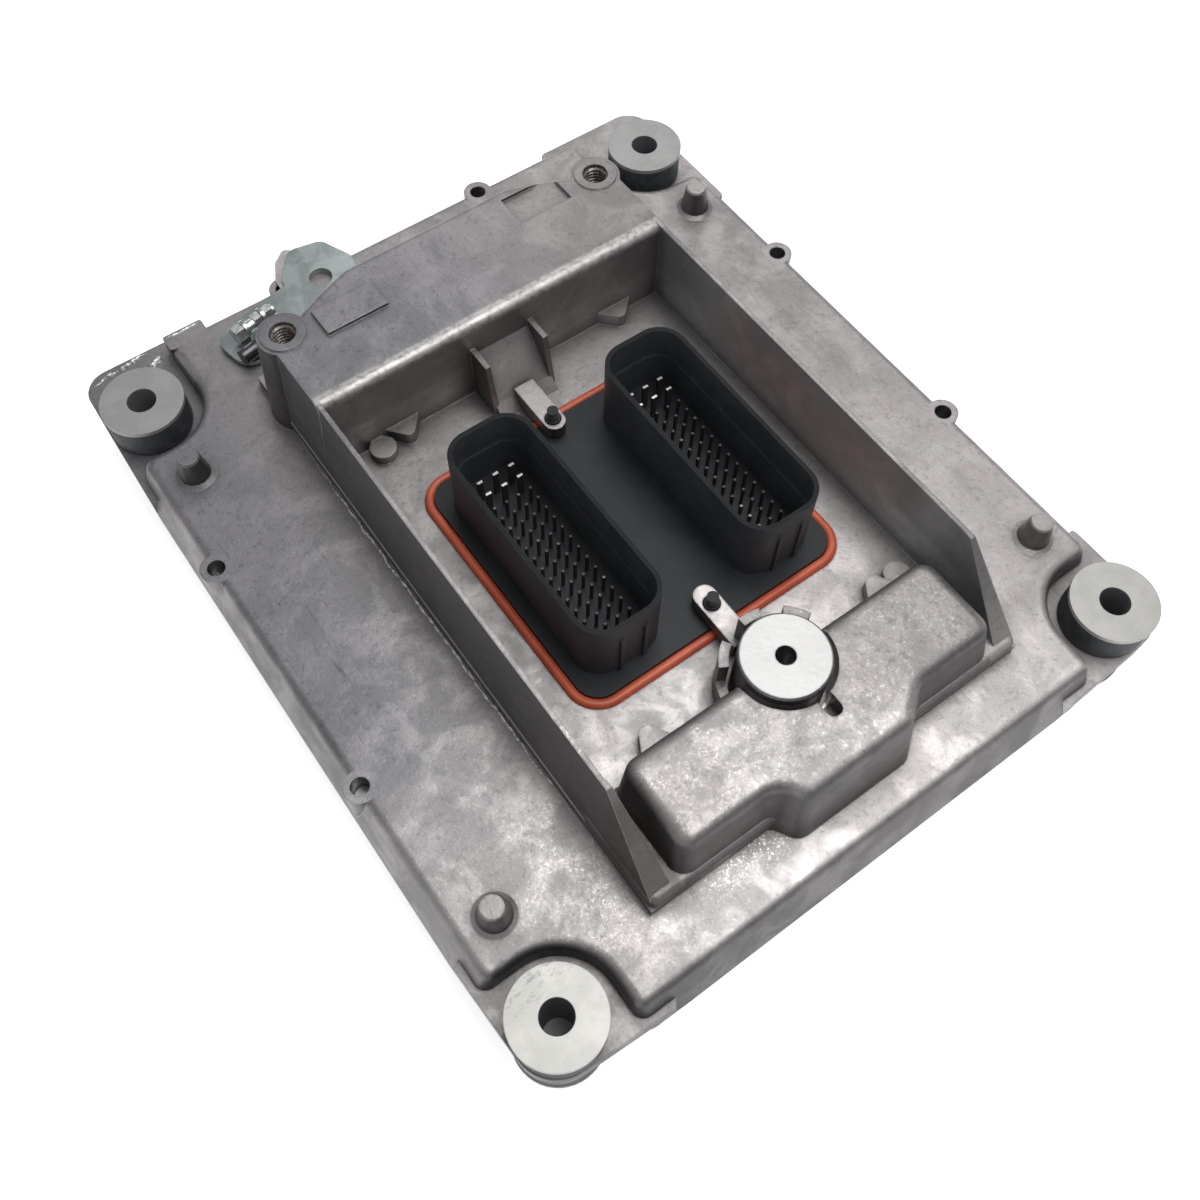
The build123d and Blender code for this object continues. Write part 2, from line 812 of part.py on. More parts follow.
def housing():
    """Die-cast upper housing, one piece."""
    body = sloping_body() + ears()
    body += [disc(x, y, lug_radius, z_flange, z_roof) for x, y in lug_points()]
    body += tower_base()
    body += far_block()
    body += [screw_boss(side) for side in (-1, 1)]
    body += near_block()
    body += near_plinth()
    body += [side_rib(side) for side in (-1, 1)]
    body += round_boss()
    body += [collar_sector(*arc) for arc in collar_arcs]
    body += [tip_pad(*pad, well_far_y + root_depth) for pad in far_pads]
    body += [tip_pad(*pad, near_block_wall_y - root_depth) for pad in near_pads]
    body += [disc(x, y, round_pad_radius, z_well, z_well + round_pad_rise) for x, y in round_pads]
    body += gussets()
    body += [
        locating_post(side * post_x, y)
        for side in (-1, 1)
        for y in post_y
    ]
    body += slab(
        rectangle(
            *gate_stub_x, body_far_y - wall, body_far_y + gate_stub_reach, gate_stub_round
        ),
        z_ledge,
        z_roof,
    )
    raised = rectangle(*raised_field)
    body += slab(raised, z_tower - root_depth, z_tower + field_step)
    body -= slab(rectangle(*sunk_field), z_tower - field_step, z_tower)
    body -= hollow()
    body += [
        disc(x, y, lug_radius, z_flange, z_roof - wall / 2) for x, y in lug_points() + blind_points()
    ]
    body += [disc(x, y, board_boss_radius, z_board, z_ceiling) for x, y in board_screw_points()]
    body += processor_pedestal()
    window = rectangle(-window_half_x, window_half_x, window_near_y, window_far_y, window_corner)
    body -= slab(window, z_well_under, z_well)
    body += arm(far_arm_tip_y, window_far_y + root_depth, far_arm_post_y)
    body += arm(near_arm_tip_y, window_near_y - root_depth, near_arm_post_y)
    body += arm_foot(window_far_y, ramp_foot_y)
    body += arm_foot(boss_y + pocket_radius, window_near_y)
    body -= [m8_hole(side) for side in (-1, 1)]
    top = z_near_block + boss_overtop
    body -= disc(0, boss_y, boss_bore_radius, top - boss_bore_depth, top)
    body -= [
        disc(*isolator_point(*signs), ear_hole_radius, z_flange, z_ledge)
        for signs in corner_names.values()
    ]
    threaded = screw_radius + thread_clearance
    z_thread_end = z_flange + screw_engagement
    for x, y in lug_points():
        body -= disc(x, y, threaded, z_flange, z_thread_end)
        body -= disc(x, y, lug_hole_radius, z_thread_end, z_roof)
    for x, y in blind_points():
        body -= disc(x, y, threaded, z_flange, z_thread_end + screw_tip_clearance)
    board_thread = board_screw_radius + thread_clearance
    for x, y in board_screw_points():
        body -= disc(x, y, board_thread, z_board, z_board_under + board_screw_length)
    return body


def processor_pedestal():
    """Low block under the roof that reaches down to the processor's heat pad."""
    width, length, height = processor_size
    x, y = processor_place
    outline = Pos(x, y) * Rectangle(width, length)
    return slab(outline, z_board + height + pad_thickness, z_ceiling)


def cover_outline():
    """Plan of the cover and gasket, a little inside the housing's foot."""
    return notched_outline(
        base_half_x - cover_inset,
        base_near_y + cover_inset,
        base_far_y - cover_inset,
        isolator_notch,
        cover_corner,
    )


def base_cover():
    """Flat cover under the housing, with stiffening ribs below."""
    cover = slab(cover_outline(), z_cover_under, z_cover_top)
    first = -cover_rib_pitch * (cover_rib_count - 1) / 2
    for index in range(cover_rib_count):
        x = first + index * cover_rib_pitch
        rib = rectangle(
            x - cover_rib_width / 2,
            x + cover_rib_width / 2,
            body_near_y + cover_rib_inset,
            body_far_y - cover_rib_inset,
        )
        cover += slab(rib, z_cover_under - cover_rib_height, z_cover_under)
    return cover - cover_holes()


def cover_holes():
    """Clearance holes of the cover screws through cover and gasket."""
    return [
        disc(x, y, lug_hole_radius, z_cover_under, z_flange) for x, y in lug_points() + blind_points()
    ]


def cover_gasket():
    """Flat gasket between the housing's foot and the cover."""
    ring = slab(cover_outline() - inner_outline(), z_cover_top, z_flange)
    ring += [
        disc(x, y, lug_radius, z_cover_top, z_flange) for x, y in lug_points() + blind_points()
    ]
    return ring - cover_holes()


def cover_screw(x, y):
    """Pan-head screw from below, with a socket in its head."""
    head = disc(x, y, screw_head_radius, z_cover_under - screw_head_height, z_cover_under)
    shank = disc(x, y, screw_radius, z_cover_under, z_flange + screw_engagement)
    bottom = z_cover_under - screw_head_height
    socket = Pos(x, y, bottom) * extrude(
        RegularPolygon(screw_socket_radius, 6), amount=screw_socket_depth
    )
    return head + shank - socket


def connector_header():
    """Moulded header: rim under the well floor, plate in the window and two shrouds."""
    gap_x = window_half_x - seal_width
    near_y = window_near_y + seal_width
    far_y = window_far_y - seal_width
    corner = window_corner - seal_width
    plate = slab(rectangle(-gap_x, gap_x, near_y, far_y, corner), z_header_under, z_header)
    rim = slab(
        rectangle(
            -window_half_x - header_rim,
            window_half_x + header_rim,
            window_near_y - header_rim,
            window_far_y + header_rim,
            window_corner + header_rim,
        ),
        z_header_under,
        z_well_under,
    )
    header = plate + rim
    for side in (-1, 1):
        header += shroud(side * shroud_x)
    for centre_y in (far_arm_post_y, near_arm_post_y):
        header += disc(0, centre_y, header_post_radius, z_header, z_arm + header_post_rise)
        header += disc(
            0, centre_y, header_nub_radius, z_arm, z_arm + header_post_rise + header_nub_height
        )
    legs_x = window_half_x - header_leg_radius
    for x in (-legs_x, legs_x):
        for y in (near_y, far_y):
            header += disc(x, y, header_leg_radius, z_board, z_header_under)
    header -= signal_field(z_header_under, z_shroud_floor)
    return header - power_field(z_header_under, z_shroud_floor)


def shroud(centre_x):
    """One socket of the header: a rounded wall with an inner ledge and two outer ribs."""
    half = shroud_width / 2

    def outline(inset):
        return rectangle(
            centre_x - half + inset,
            centre_x + half - inset,
            shroud_near_y + inset,
            shroud_far_y - inset,
            shroud_corner - inset,
        )

    solid = slab(outline(0), z_header - root_depth, z_shroud_rim)
    solid -= slab(outline(shroud_wall + shroud_ledge), z_shroud_floor, z_shroud_rim)
    solid -= slab(outline(shroud_wall), z_shroud_rim - shroud_ledge_drop, z_shroud_rim)
    width, depth, rise = shroud_rib
    for offset in shroud_rib_offsets:
        x = centre_x + offset
        root_y = shroud_near_y + root_depth
        rib = rectangle(x - width / 2, x + width / 2, shroud_near_y - depth, root_y)
        solid += slab(rib, z_header - root_depth, z_well + rise)
    return solid


def field_points(columns, rows, pitch_x, pitch_y, first_y):
    """Centres of one kind of contact in both shrouds."""
    points = []
    for side in (-1, 1):
        for column in range(columns):
            x = side * shroud_x + (column - (columns - 1) / 2) * pitch_x
            points += [(x, first_y - row * pitch_y) for row in range(rows)]
    return points


def signal_field(bottom, top):
    """All signal contacts as square bars between two levels."""
    points = field_points(
        signal_columns, signal_rows, signal_pitch_x, signal_pitch_y, signal_first_y
    )
    bars = Sketch() + [Pos(x, y) * Rectangle(signal_pin, signal_pin) for x, y in points]
    return slab(bars, bottom, top)


def power_field(bottom, top):
    """All power contacts as flat bars between two levels."""
    points = field_points(power_columns, power_rows, power_pitch_x, power_pitch_y, power_first_y)
    bars = Sketch() + [Pos(x, y) * Rectangle(*power_pin) for x, y in points]
    return slab(bars, bottom, top)


def header_seal():
    """Round-topped bead that fills the gap between header plate and window."""
    gap_x = window_half_x - seal_width
    outer = rectangle(-window_half_x, window_half_x, window_near_y, window_far_y, window_corner)
    inner = rectangle(
        -gap_x,
        gap_x,
        window_near_y + seal_width,
        window_far_y - seal_width,
        window_corner - seal_width,
    )
    bead = slab(outer - inner, z_well_under, z_well + seal_rise)
    return chamfer(bead.edges().group_by(Axis.Z)[-1], seal_chamfer)


def circuit_board():
    """Board hung from the roof bosses, with clearance holes for its screws."""
    board = slab(inner_outline(board_gap), z_board_under, z_board)
    board -= [
        disc(x, y, lug_radius + board_lug_gap, z_board_under, z_board) for x, y in blind_points()
    ]
    return board - [
        disc(x, y, board_screw_radius + thread_clearance, z_board_under, z_board)
        for x, y in board_screw_points()
    ]


def board_screw(x, y):
    """Small screw from below through the board into its boss."""
    head = disc(
        x, y, board_screw_head_radius, z_board_under - board_screw_head_height, z_board_under
    )
    tip = z_board_under + board_screw_length - thread_clearance
    return head + disc(x, y, board_screw_radius, z_board_under, tip)


def on_board(place, size, lift=0.0):
    """Rectangular component standing on the board."""
    x, y = place
    width, length, height = size
    outline = Pos(x, y) * Rectangle(width, length)
    return slab(outline, z_board + lift, z_board + lift + height)


def transistor_points():
    """Centres of the power transistors in a row along each long side."""
    rows = [transistor_first_y + index * transistor_pitch for index in range(transistor_count)]
    return [(transistor_x, y) for y in rows]


def thermal_pads():
    """Soft pads that fill the gap from the hot components to the roof."""
    width, length, height = transistor_size
    gap = z_ceiling - z_board - height
    pads = [on_board(place, (width, length, gap), height) for place in transistor_points()]
    size = processor_size
    pads.append(on_board(processor_place, (size[0], size[1], pad_thickness), size[2]))
    return pads


def inductor():
    """Drum core with a winding between its flanges."""
    top = z_board + inductor_height
    drum = disc(inductor_x, far_component_y, inductor_core_radius, z_board, top)
    drum += disc(
        inductor_x, far_component_y, inductor_radius, z_board, z_board + inductor_flange
    )
    return drum + disc(
        inductor_x, far_component_y, inductor_radius, top - inductor_flange, top
    )


def isolator_rubber(x, y):
    """Spool-shaped grommet: a ring above the ear, a neck in its hole and a ring below."""
    below = disc(x, y, rubber_radius, washer_thickness, z_flange)
    above = disc(x, y, rubber_radius, z_ledge, z_upper_washer)
    below = chamfer(below.edges().group_by(Axis.Z)[-1], rubber_chamfer)
    above = chamfer(above.edges().group_by(Axis.Z)[0], rubber_chamfer)
    neck = disc(x, y, ear_hole_radius - neck_clearance, z_flange, z_ledge)
    bore = disc(x, y, sleeve_outer_radius + sleeve_clearance, washer_thickness, z_upper_washer)
    return above + below + neck - bore


def isolator_sleeve(x, y):
    """Steel sleeve with a wide washer flange on top, standing on the lower washer."""
    top = z_upper_washer + washer_thickness
    sleeve = disc(x, y, washer_radius, z_upper_washer, top)
    sleeve += disc(x, y, sleeve_outer_radius, washer_thickness, z_upper_washer)
    return sleeve - disc(x, y, sleeve_bore_radius, washer_thickness, top)


def isolator_washers():
    """Lower washers, which seat on what the unit is bolted to."""
    washers = []
    for signs in corner_names.values():
        x, y = isolator_point(*signs)
        ring = disc(x, y, washer_radius, 0, washer_thickness)
        washers.append(ring - disc(x, y, sleeve_bore_radius, 0, washer_thickness))
    return washers


def in_bracket_frame(shape):
    """Place a shape drawn about the clamp screw's middle into the bracket's own frame."""
    return Pos(bracket_pivot[0], bracket_pivot[1], 0) * Rot(0, 0, bracket_turn) * shape


def clamp_bar(radius, start, end, rise, offset=0.0, sides=0):
    """Round or hexagonal bar along the clamp screw's direction."""
    section = RegularPolygon(radius, sides) if sides else Circle(radius)
    bar = extrude(Plane.YZ * section, amount=end - start)
    return in_bracket_frame(Pos(start, offset, rise) * bar)


def z_clamp():
    """Height of the clamp screw's axis."""
    return z_roof + backing_thickness + bracket_thickness + clamp_axis_rise


def side_bracket():
    """Flat plate with a hole and a strip that carries two small ears for the clamp screw."""
    bottom = z_roof + backing_thickness
    top = bottom + bracket_thickness
    plate = slab(polygon(plate_outline, plate_rounds), bottom, top)
    strip = slab(
        polygon(
            [
                (strip_reach[0], strip_width[0]),
                (strip_reach[1], strip_width[0]),
                (strip_reach[1], strip_width[1]),
                (strip_reach[0], strip_width[1]),
            ],
            [strip_end_round, 0, 0, strip_end_round],
        ),
        bottom,
        top,
    )
    plate += in_bracket_frame(strip)
    plate -= disc(*bracket_hole, bracket_hole_radius, bottom, top)
    half = clamp_ear_thickness / 2
    for u in clamp_ear_u:
        profile = Pos(0, z_clamp()) * Circle(clamp_ear_radius)
        profile += Pos(0, (z_clamp() + bottom) / 2) * Rectangle(
            2 * clamp_ear_radius, z_clamp() - bottom
        )
        profile -= Pos(0, z_clamp()) * Circle(clamp_screw_radius + clamp_hole_clearance)
        ear = extrude(Plane.YZ * profile, amount=clamp_ear_thickness)
        plate += in_bracket_frame(Pos(u - half, 0, 0) * ear)
    return plate


def bracket_backing():
    """Thinner layer under the plate, reaching a little past its far edge."""
    sheet = polygon(backing_outline, backing_rounds)
    end_inset, side_inset = backing_strip_inset
    under_strip = in_bracket_frame(
        rectangle(
            strip_reach[0] + end_inset,
            strip_reach[1],
            strip_width[0] + side_inset,
            strip_width[1] - side_inset,
            backing_strip_round,
        )
    )
    layer = slab(sheet, z_roof, z_roof + backing_thickness)
    layer += slab(under_strip, z_roof, z_roof + backing_thickness)
    return layer - disc(
        *bracket_hole, bracket_hole_radius, z_roof, z_roof + backing_thickness
    )


def clamp_faces():
    """Distances along the screw of the outer faces of both ears."""
    half = clamp_ear_thickness / 2
    return clamp_ear_u[0] - half, clamp_ear_u[1] + half


def clamp_screw():
    """Hexagon screw through both ears, with its head against the first."""
    low, high = clamp_faces()
    head = clamp_bar(clamp_head_radius, low - clamp_head_length, low, z_clamp(), sides=6)
    tail = high + clamp_nut_length + clamp_tail
    return head + clamp_bar(clamp_screw_radius, low, tail, z_clamp())


def clamp_nuts():
    """One nut between the ears and one outside the second."""
    low, high = clamp_faces()
    inner_end = high - clamp_ear_thickness
    nuts = []
    for start in (inner_end - clamp_nut_length, high):
        nut = clamp_bar(clamp_nut_radius, start, start + clamp_nut_length, z_clamp(), sides=6)
        bore = clamp_screw_radius + thread_clearance
        nuts.append(nut - clamp_bar(bore, start, start + clamp_nut_length, z_clamp()))
    return nuts


def stop_pin():
    """Short dark pin lying on the strip beside the clamp screw."""
    rise = z_roof + backing_thickness + bracket_thickness + stop_pin_radius
    u, v = stop_pin_place
    return clamp_bar(
        stop_pin_radius, u - stop_pin_length / 2, u + stop_pin_length / 2, rise, offset=v
    )


def capacitors(xs, y, radius, height):
    """Row of upright capacitor cans on the board."""
    return [disc(x, y, radius, z_board, z_board + height) for x in xs]


def nodes():
    """Every piece under the name of its file."""
    pieces = {
        "housing": housing(),
        "base_cover": base_cover(),
        "cover_gasket": cover_gasket(),
        "cover_screws": [cover_screw(x, y) for x, y in lug_points() + blind_points()],
        "connector_header": connector_header(),
        "header_seal": header_seal(),
        "signal_pins": signal_field(z_board, z_well + signal_tip_rise).solids(),
        "power_pins": power_field(z_board, z_well + power_tip_rise).solids(),
        "circuit_board": circuit_board(),
        "board_screws": [board_screw(x, y) for x, y in board_screw_points()],
        "processor": on_board(processor_place, processor_size),
        "memory_chip": on_board(memory_place, memory_size),
        "crystal": on_board(crystal_place, crystal_size),
        "power_transistors": [on_board(place, transistor_size) for place in transistor_points()],
        "thermal_pads": thermal_pads(),
        "large_capacitors": capacitors(
            large_capacitor_x, far_component_y, large_capacitor_radius, large_capacitor_height
        ),
        "small_capacitors": capacitors(
            small_capacitor_x, small_capacitor_y, small_capacitor_radius, small_capacitor_height
        ),
        "inductor": inductor(),
        "isolator_washers": isolator_washers(),
        "side_bracket": side_bracket(),
        "bracket_backing": bracket_backing(),
        "bracket_screw": clamp_screw(),
        "bracket_nuts": clamp_nuts(),
        "bracket_stop_pin": stop_pin(),
    }
    for corner, signs in corner_names.items():
        x, y = isolator_point(*signs)
        pieces["isolator_rubber_" + corner] = isolator_rubber(x, y)
        pieces["isolator_sleeve_" + corner] = isolator_sleeve(x, y)
    return pieces


os.makedirs("parts", exist_ok=True)
for name, shape in nodes().items():
    if isinstance(shape, list):
        shape = Compound(children=list(shape))
    export_step(shape, "parts/" + name + ".step")
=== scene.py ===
"""Looks of the engine control unit: materials, small details, studio and camera.

Every length in the shape code is in metres of the row frame. Material patterns are laid out in
millimetres of the same frame.
"""

import math

import bpy
from mathutils import Matrix, Vector, noise

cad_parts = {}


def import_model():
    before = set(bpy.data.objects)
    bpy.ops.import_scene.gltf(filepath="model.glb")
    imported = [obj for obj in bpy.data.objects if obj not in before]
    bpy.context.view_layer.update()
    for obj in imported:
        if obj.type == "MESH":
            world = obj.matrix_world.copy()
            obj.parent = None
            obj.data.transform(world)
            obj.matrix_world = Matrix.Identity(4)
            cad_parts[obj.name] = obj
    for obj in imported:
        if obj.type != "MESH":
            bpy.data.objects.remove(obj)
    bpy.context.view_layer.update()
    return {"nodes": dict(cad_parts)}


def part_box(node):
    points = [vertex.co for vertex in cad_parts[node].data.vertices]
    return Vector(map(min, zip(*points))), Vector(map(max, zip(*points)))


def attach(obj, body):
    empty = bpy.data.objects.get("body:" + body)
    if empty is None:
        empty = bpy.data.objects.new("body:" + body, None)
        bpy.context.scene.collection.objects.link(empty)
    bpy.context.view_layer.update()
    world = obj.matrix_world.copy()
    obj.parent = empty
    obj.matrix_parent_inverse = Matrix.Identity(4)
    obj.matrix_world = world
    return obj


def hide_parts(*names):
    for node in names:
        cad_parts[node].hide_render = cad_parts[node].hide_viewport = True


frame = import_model()
nodes = frame["nodes"]
scene = bpy.context.scene
MM = 0.001

# Places on the part, in millimetres of the row frame. The isolators stand at all four signs of
# theirs, the threaded holes at both signs of x.
ISOLATOR_X, ISOLATOR_Y = 99.55, 115.0
BORE_RADIUS = 4.85
M8_X, M8_Y = 57.0, 87.0
M8_DARK_RADIUS = 4.3
BOSS_X, BOSS_Y = 0.0, -78.6
BOSS_RADIUS = 12.25
ROOF_Z = 28.0
EAR_Z = 20.0


class Graph:
    """A node tree that is being put together."""

    def __init__(self, tree):
        self.tree = tree
        tree.nodes.clear()

    def add(self, kind, **settings):
        node = self.tree.nodes.new(kind)
        for key, value in settings.items():
            setattr(node, key, value)
        return node

    def join(self, source, target):
        self.tree.links.new(source, target)

    def feed(self, socket, value):
        """Give a socket a number, a colour, a vector or another node's output."""
        if isinstance(value, (int, float)):
            socket.default_value = value
        elif isinstance(value, tuple):
            socket.default_value = (*value, 1.0) if len(socket.default_value) == 4 else value
        else:
            self.join(value, socket)

    def calc(self, kind, *values):
        node = self.add("ShaderNodeMath", operation=kind)
        for socket, value in zip(node.inputs, values):
            self.feed(socket, value)
        return node.outputs[0]


class Finish(Graph):
    """A principled material whose patterns are laid out in millimetres of the row frame."""

    def __init__(self, name, edge=0.0, **values):
        self.material = bpy.data.materials.new(name)
        self.material.use_nodes = True
        super().__init__(self.material.node_tree)
        self.shader = self.add("ShaderNodeBsdfPrincipled")
        output = self.add("ShaderNodeOutputMaterial")
        self.join(self.shader.outputs["BSDF"], output.inputs["Surface"])
        for key, value in values.items():
            self.feed(self.shader.inputs[key.replace("_", " ")], value)
        place = self.add("ShaderNodeTexCoord")
        scale = self.add("ShaderNodeVectorMath", operation="SCALE")
        scale.inputs["Scale"].default_value = 1 / MM
        self.join(place.outputs["Object"], scale.inputs[0])
        self.place = scale.outputs[0]
        split = self.add("ShaderNodeSeparateXYZ")
        self.join(self.place, split.inputs[0])
        self.x, self.y, self.z = split.outputs
        self.normal = self.rounded_normal(edge) if edge else None

    def rounded_normal(self, radius):
        """Normal that softens edges over a radius in millimetres."""
        bevel = self.add("ShaderNodeBevel", samples=2)
        bevel.inputs["Radius"].default_value = radius * MM
        return bevel.outputs[0]

    def noise(self, scale, detail=4.0, rough=0.55, stretch=None, warp=0.0):
        """Fractal noise; scale is in features per millimetre."""
        source = self.place
        if stretch:
            node = self.add("ShaderNodeVectorMath", operation="MULTIPLY")
            self.join(source, node.inputs[0])
            node.inputs[1].default_value = stretch
            source = node.outputs[0]
        node = self.add("ShaderNodeTexNoise")
        self.join(source, node.inputs["Vector"])
        node.inputs["Scale"].default_value = scale
        node.inputs["Detail"].default_value = detail
        node.inputs["Roughness"].default_value = rough
        node.inputs["Distortion"].default_value = warp
        return node.outputs[0]

    def cell_edges(self, scale):
        """Distance to the nearest edge between cells; scale is in cells per millimetre."""
        node = self.add("ShaderNodeTexVoronoi", feature="DISTANCE_TO_EDGE")
        self.join(self.place, node.inputs["Vector"])
        node.inputs["Scale"].default_value = scale
        return node.outputs[0]

    def spread(self, value, low, high, to_low=0.0, to_high=1.0):
        """Value led smoothly from one range to another, held at its ends; low may be the larger."""
        node = self.add("ShaderNodeMapRange", interpolation_type="SMOOTHSTEP")
        for socket, item in zip(node.inputs, (value, low, high, to_low, to_high)):
            self.feed(socket, item)
        return node.outputs[0]

    def mix(self, share, first, second, kind="MIX"):
        """Colour that goes from the first to the second with a share."""
        node = self.add("ShaderNodeMix", data_type="RGBA", blend_type=kind)
        factor, colour_a, colour_b = (node.inputs[index] for index in (0, 6, 7))
        self.feed(factor, share)
        self.feed(colour_a, first)
        self.feed(colour_b, second)
        return node.outputs[2]

    def blend(self, share, first, second):
        """Number that goes from the first to the second with a share."""
        node = self.add("ShaderNodeMix", data_type="FLOAT")
        for index, value in ((0, share), (2, first), (3, second)):
            self.feed(node.inputs[index], value)
        return node.outputs[0]

    def times(self, *values):
        """Product of several values."""
        product = values[0]
        for value in values[1:]:
            product = self.calc("MULTIPLY", product, value)
        return product

    def remainder(self, share):
        """One less a share."""
        return self.calc("SUBTRACT", 1.0, share)

    def scaled(self, colour, factor):
        """Colour made lighter or darker by a factor."""
        node = self.add("ShaderNodeVectorMath", operation="SCALE")
        self.feed(node.inputs[0], colour)
        self.feed(node.inputs["Scale"], factor)
        return node.outputs[0]

    def scaled_in(self, colour, share, factor):
        """Colour made lighter or darker in a share of the surface."""
        return self.scaled(colour, self.blend(share, 1.0, factor))

    def tinted(self, colour, share, tint):
        """Colour multiplied by a tint in a share of the surface."""
        return self.mix(share, colour, tint, "MULTIPLY")

    def aside(self):
        """Distance from the part's middle plane."""
        return self.calc("ABSOLUTE", self.x)

    def length(self, across, along):
        """Length of two measures that are square to each other."""
        squares = self.calc("ADD", self.times(across, across), self.times(along, along))
        return self.calc("SQRT", squares)

    def away_from(self, x, y):
        """Distance from the upright axis at a place."""
        return self.length(self.calc("SUBTRACT", self.x, x), self.calc("SUBTRACT", self.y, y))

    def away_from_four(self, x, y):
        """Distance from the nearest of the upright axes at the four signs of a place."""
        along = self.calc("ABSOLUTE", self.y)
        return self.length(self.calc("SUBTRACT", self.aside(), x),
                           self.calc("SUBTRACT", along, y))

    def within(self, away, radius, soft=0.15):
        """One where a distance is less than a radius, nought where it is more."""
        return self.spread(away, radius - soft, radius + soft, 1.0, 0.0)

    def bump(self, height, depth, strength=1.0):
        """Relief of a depth in millimetres, added to what is there."""
        node = self.add("ShaderNodeBump")
        node.inputs["Strength"].default_value = strength
        node.inputs["Distance"].default_value = depth * MM
        self.join(height, node.inputs["Height"])
        if self.normal is not None:
            self.join(self.normal, node.inputs["Normal"])
        self.normal = node.outputs[0]

    def edge_share(self, radius):
        """One on sharp edges, nought on flat ground."""
        ground = self.add("ShaderNodeNewGeometry")
        dot = self.add("ShaderNodeVectorMath", operation="DOT_PRODUCT")
        self.join(self.rounded_normal(radius), dot.inputs[0])
        self.join(ground.outputs["Normal"], dot.inputs[1])
        return self.spread(self.remainder(dot.outputs["Value"]), 0.02, 0.25)

    def looking(self, axis, low, high):
        """One on faces that look along an axis, nought on those that look away from it."""
        ground = self.add("ShaderNodeNewGeometry")
        split = self.add("ShaderNodeSeparateXYZ")
        self.join(ground.outputs["Normal"], split.inputs[0])
        return self.spread(split.outputs[axis], low, high)

    def upward(self, low, high):
        """One on faces that look up, nought on steep ones."""
        return self.looking(2, low, high)

    def creases(self, reach, low, high):
        """One deep in corners, nought on open ground."""
        node = self.add("ShaderNodeAmbientOcclusion", samples=2, only_local=True)
        node.inputs["Distance"].default_value = reach * MM
        return self.spread(node.outputs["AO"], low, high, 1.0, 0.0)

    def done(self, colour, rough=None, metallic=None):
        """The material, with its colour and, where they vary, its roughness and metal."""
        for key, value in (("Base Color", colour), ("Roughness", rough), ("Metallic", metallic)):
            if value is not None:
                self.feed(self.shader.inputs[key], value)
        if self.normal is not None:
            self.join(self.normal, self.shader.inputs["Normal"])
        return self.material


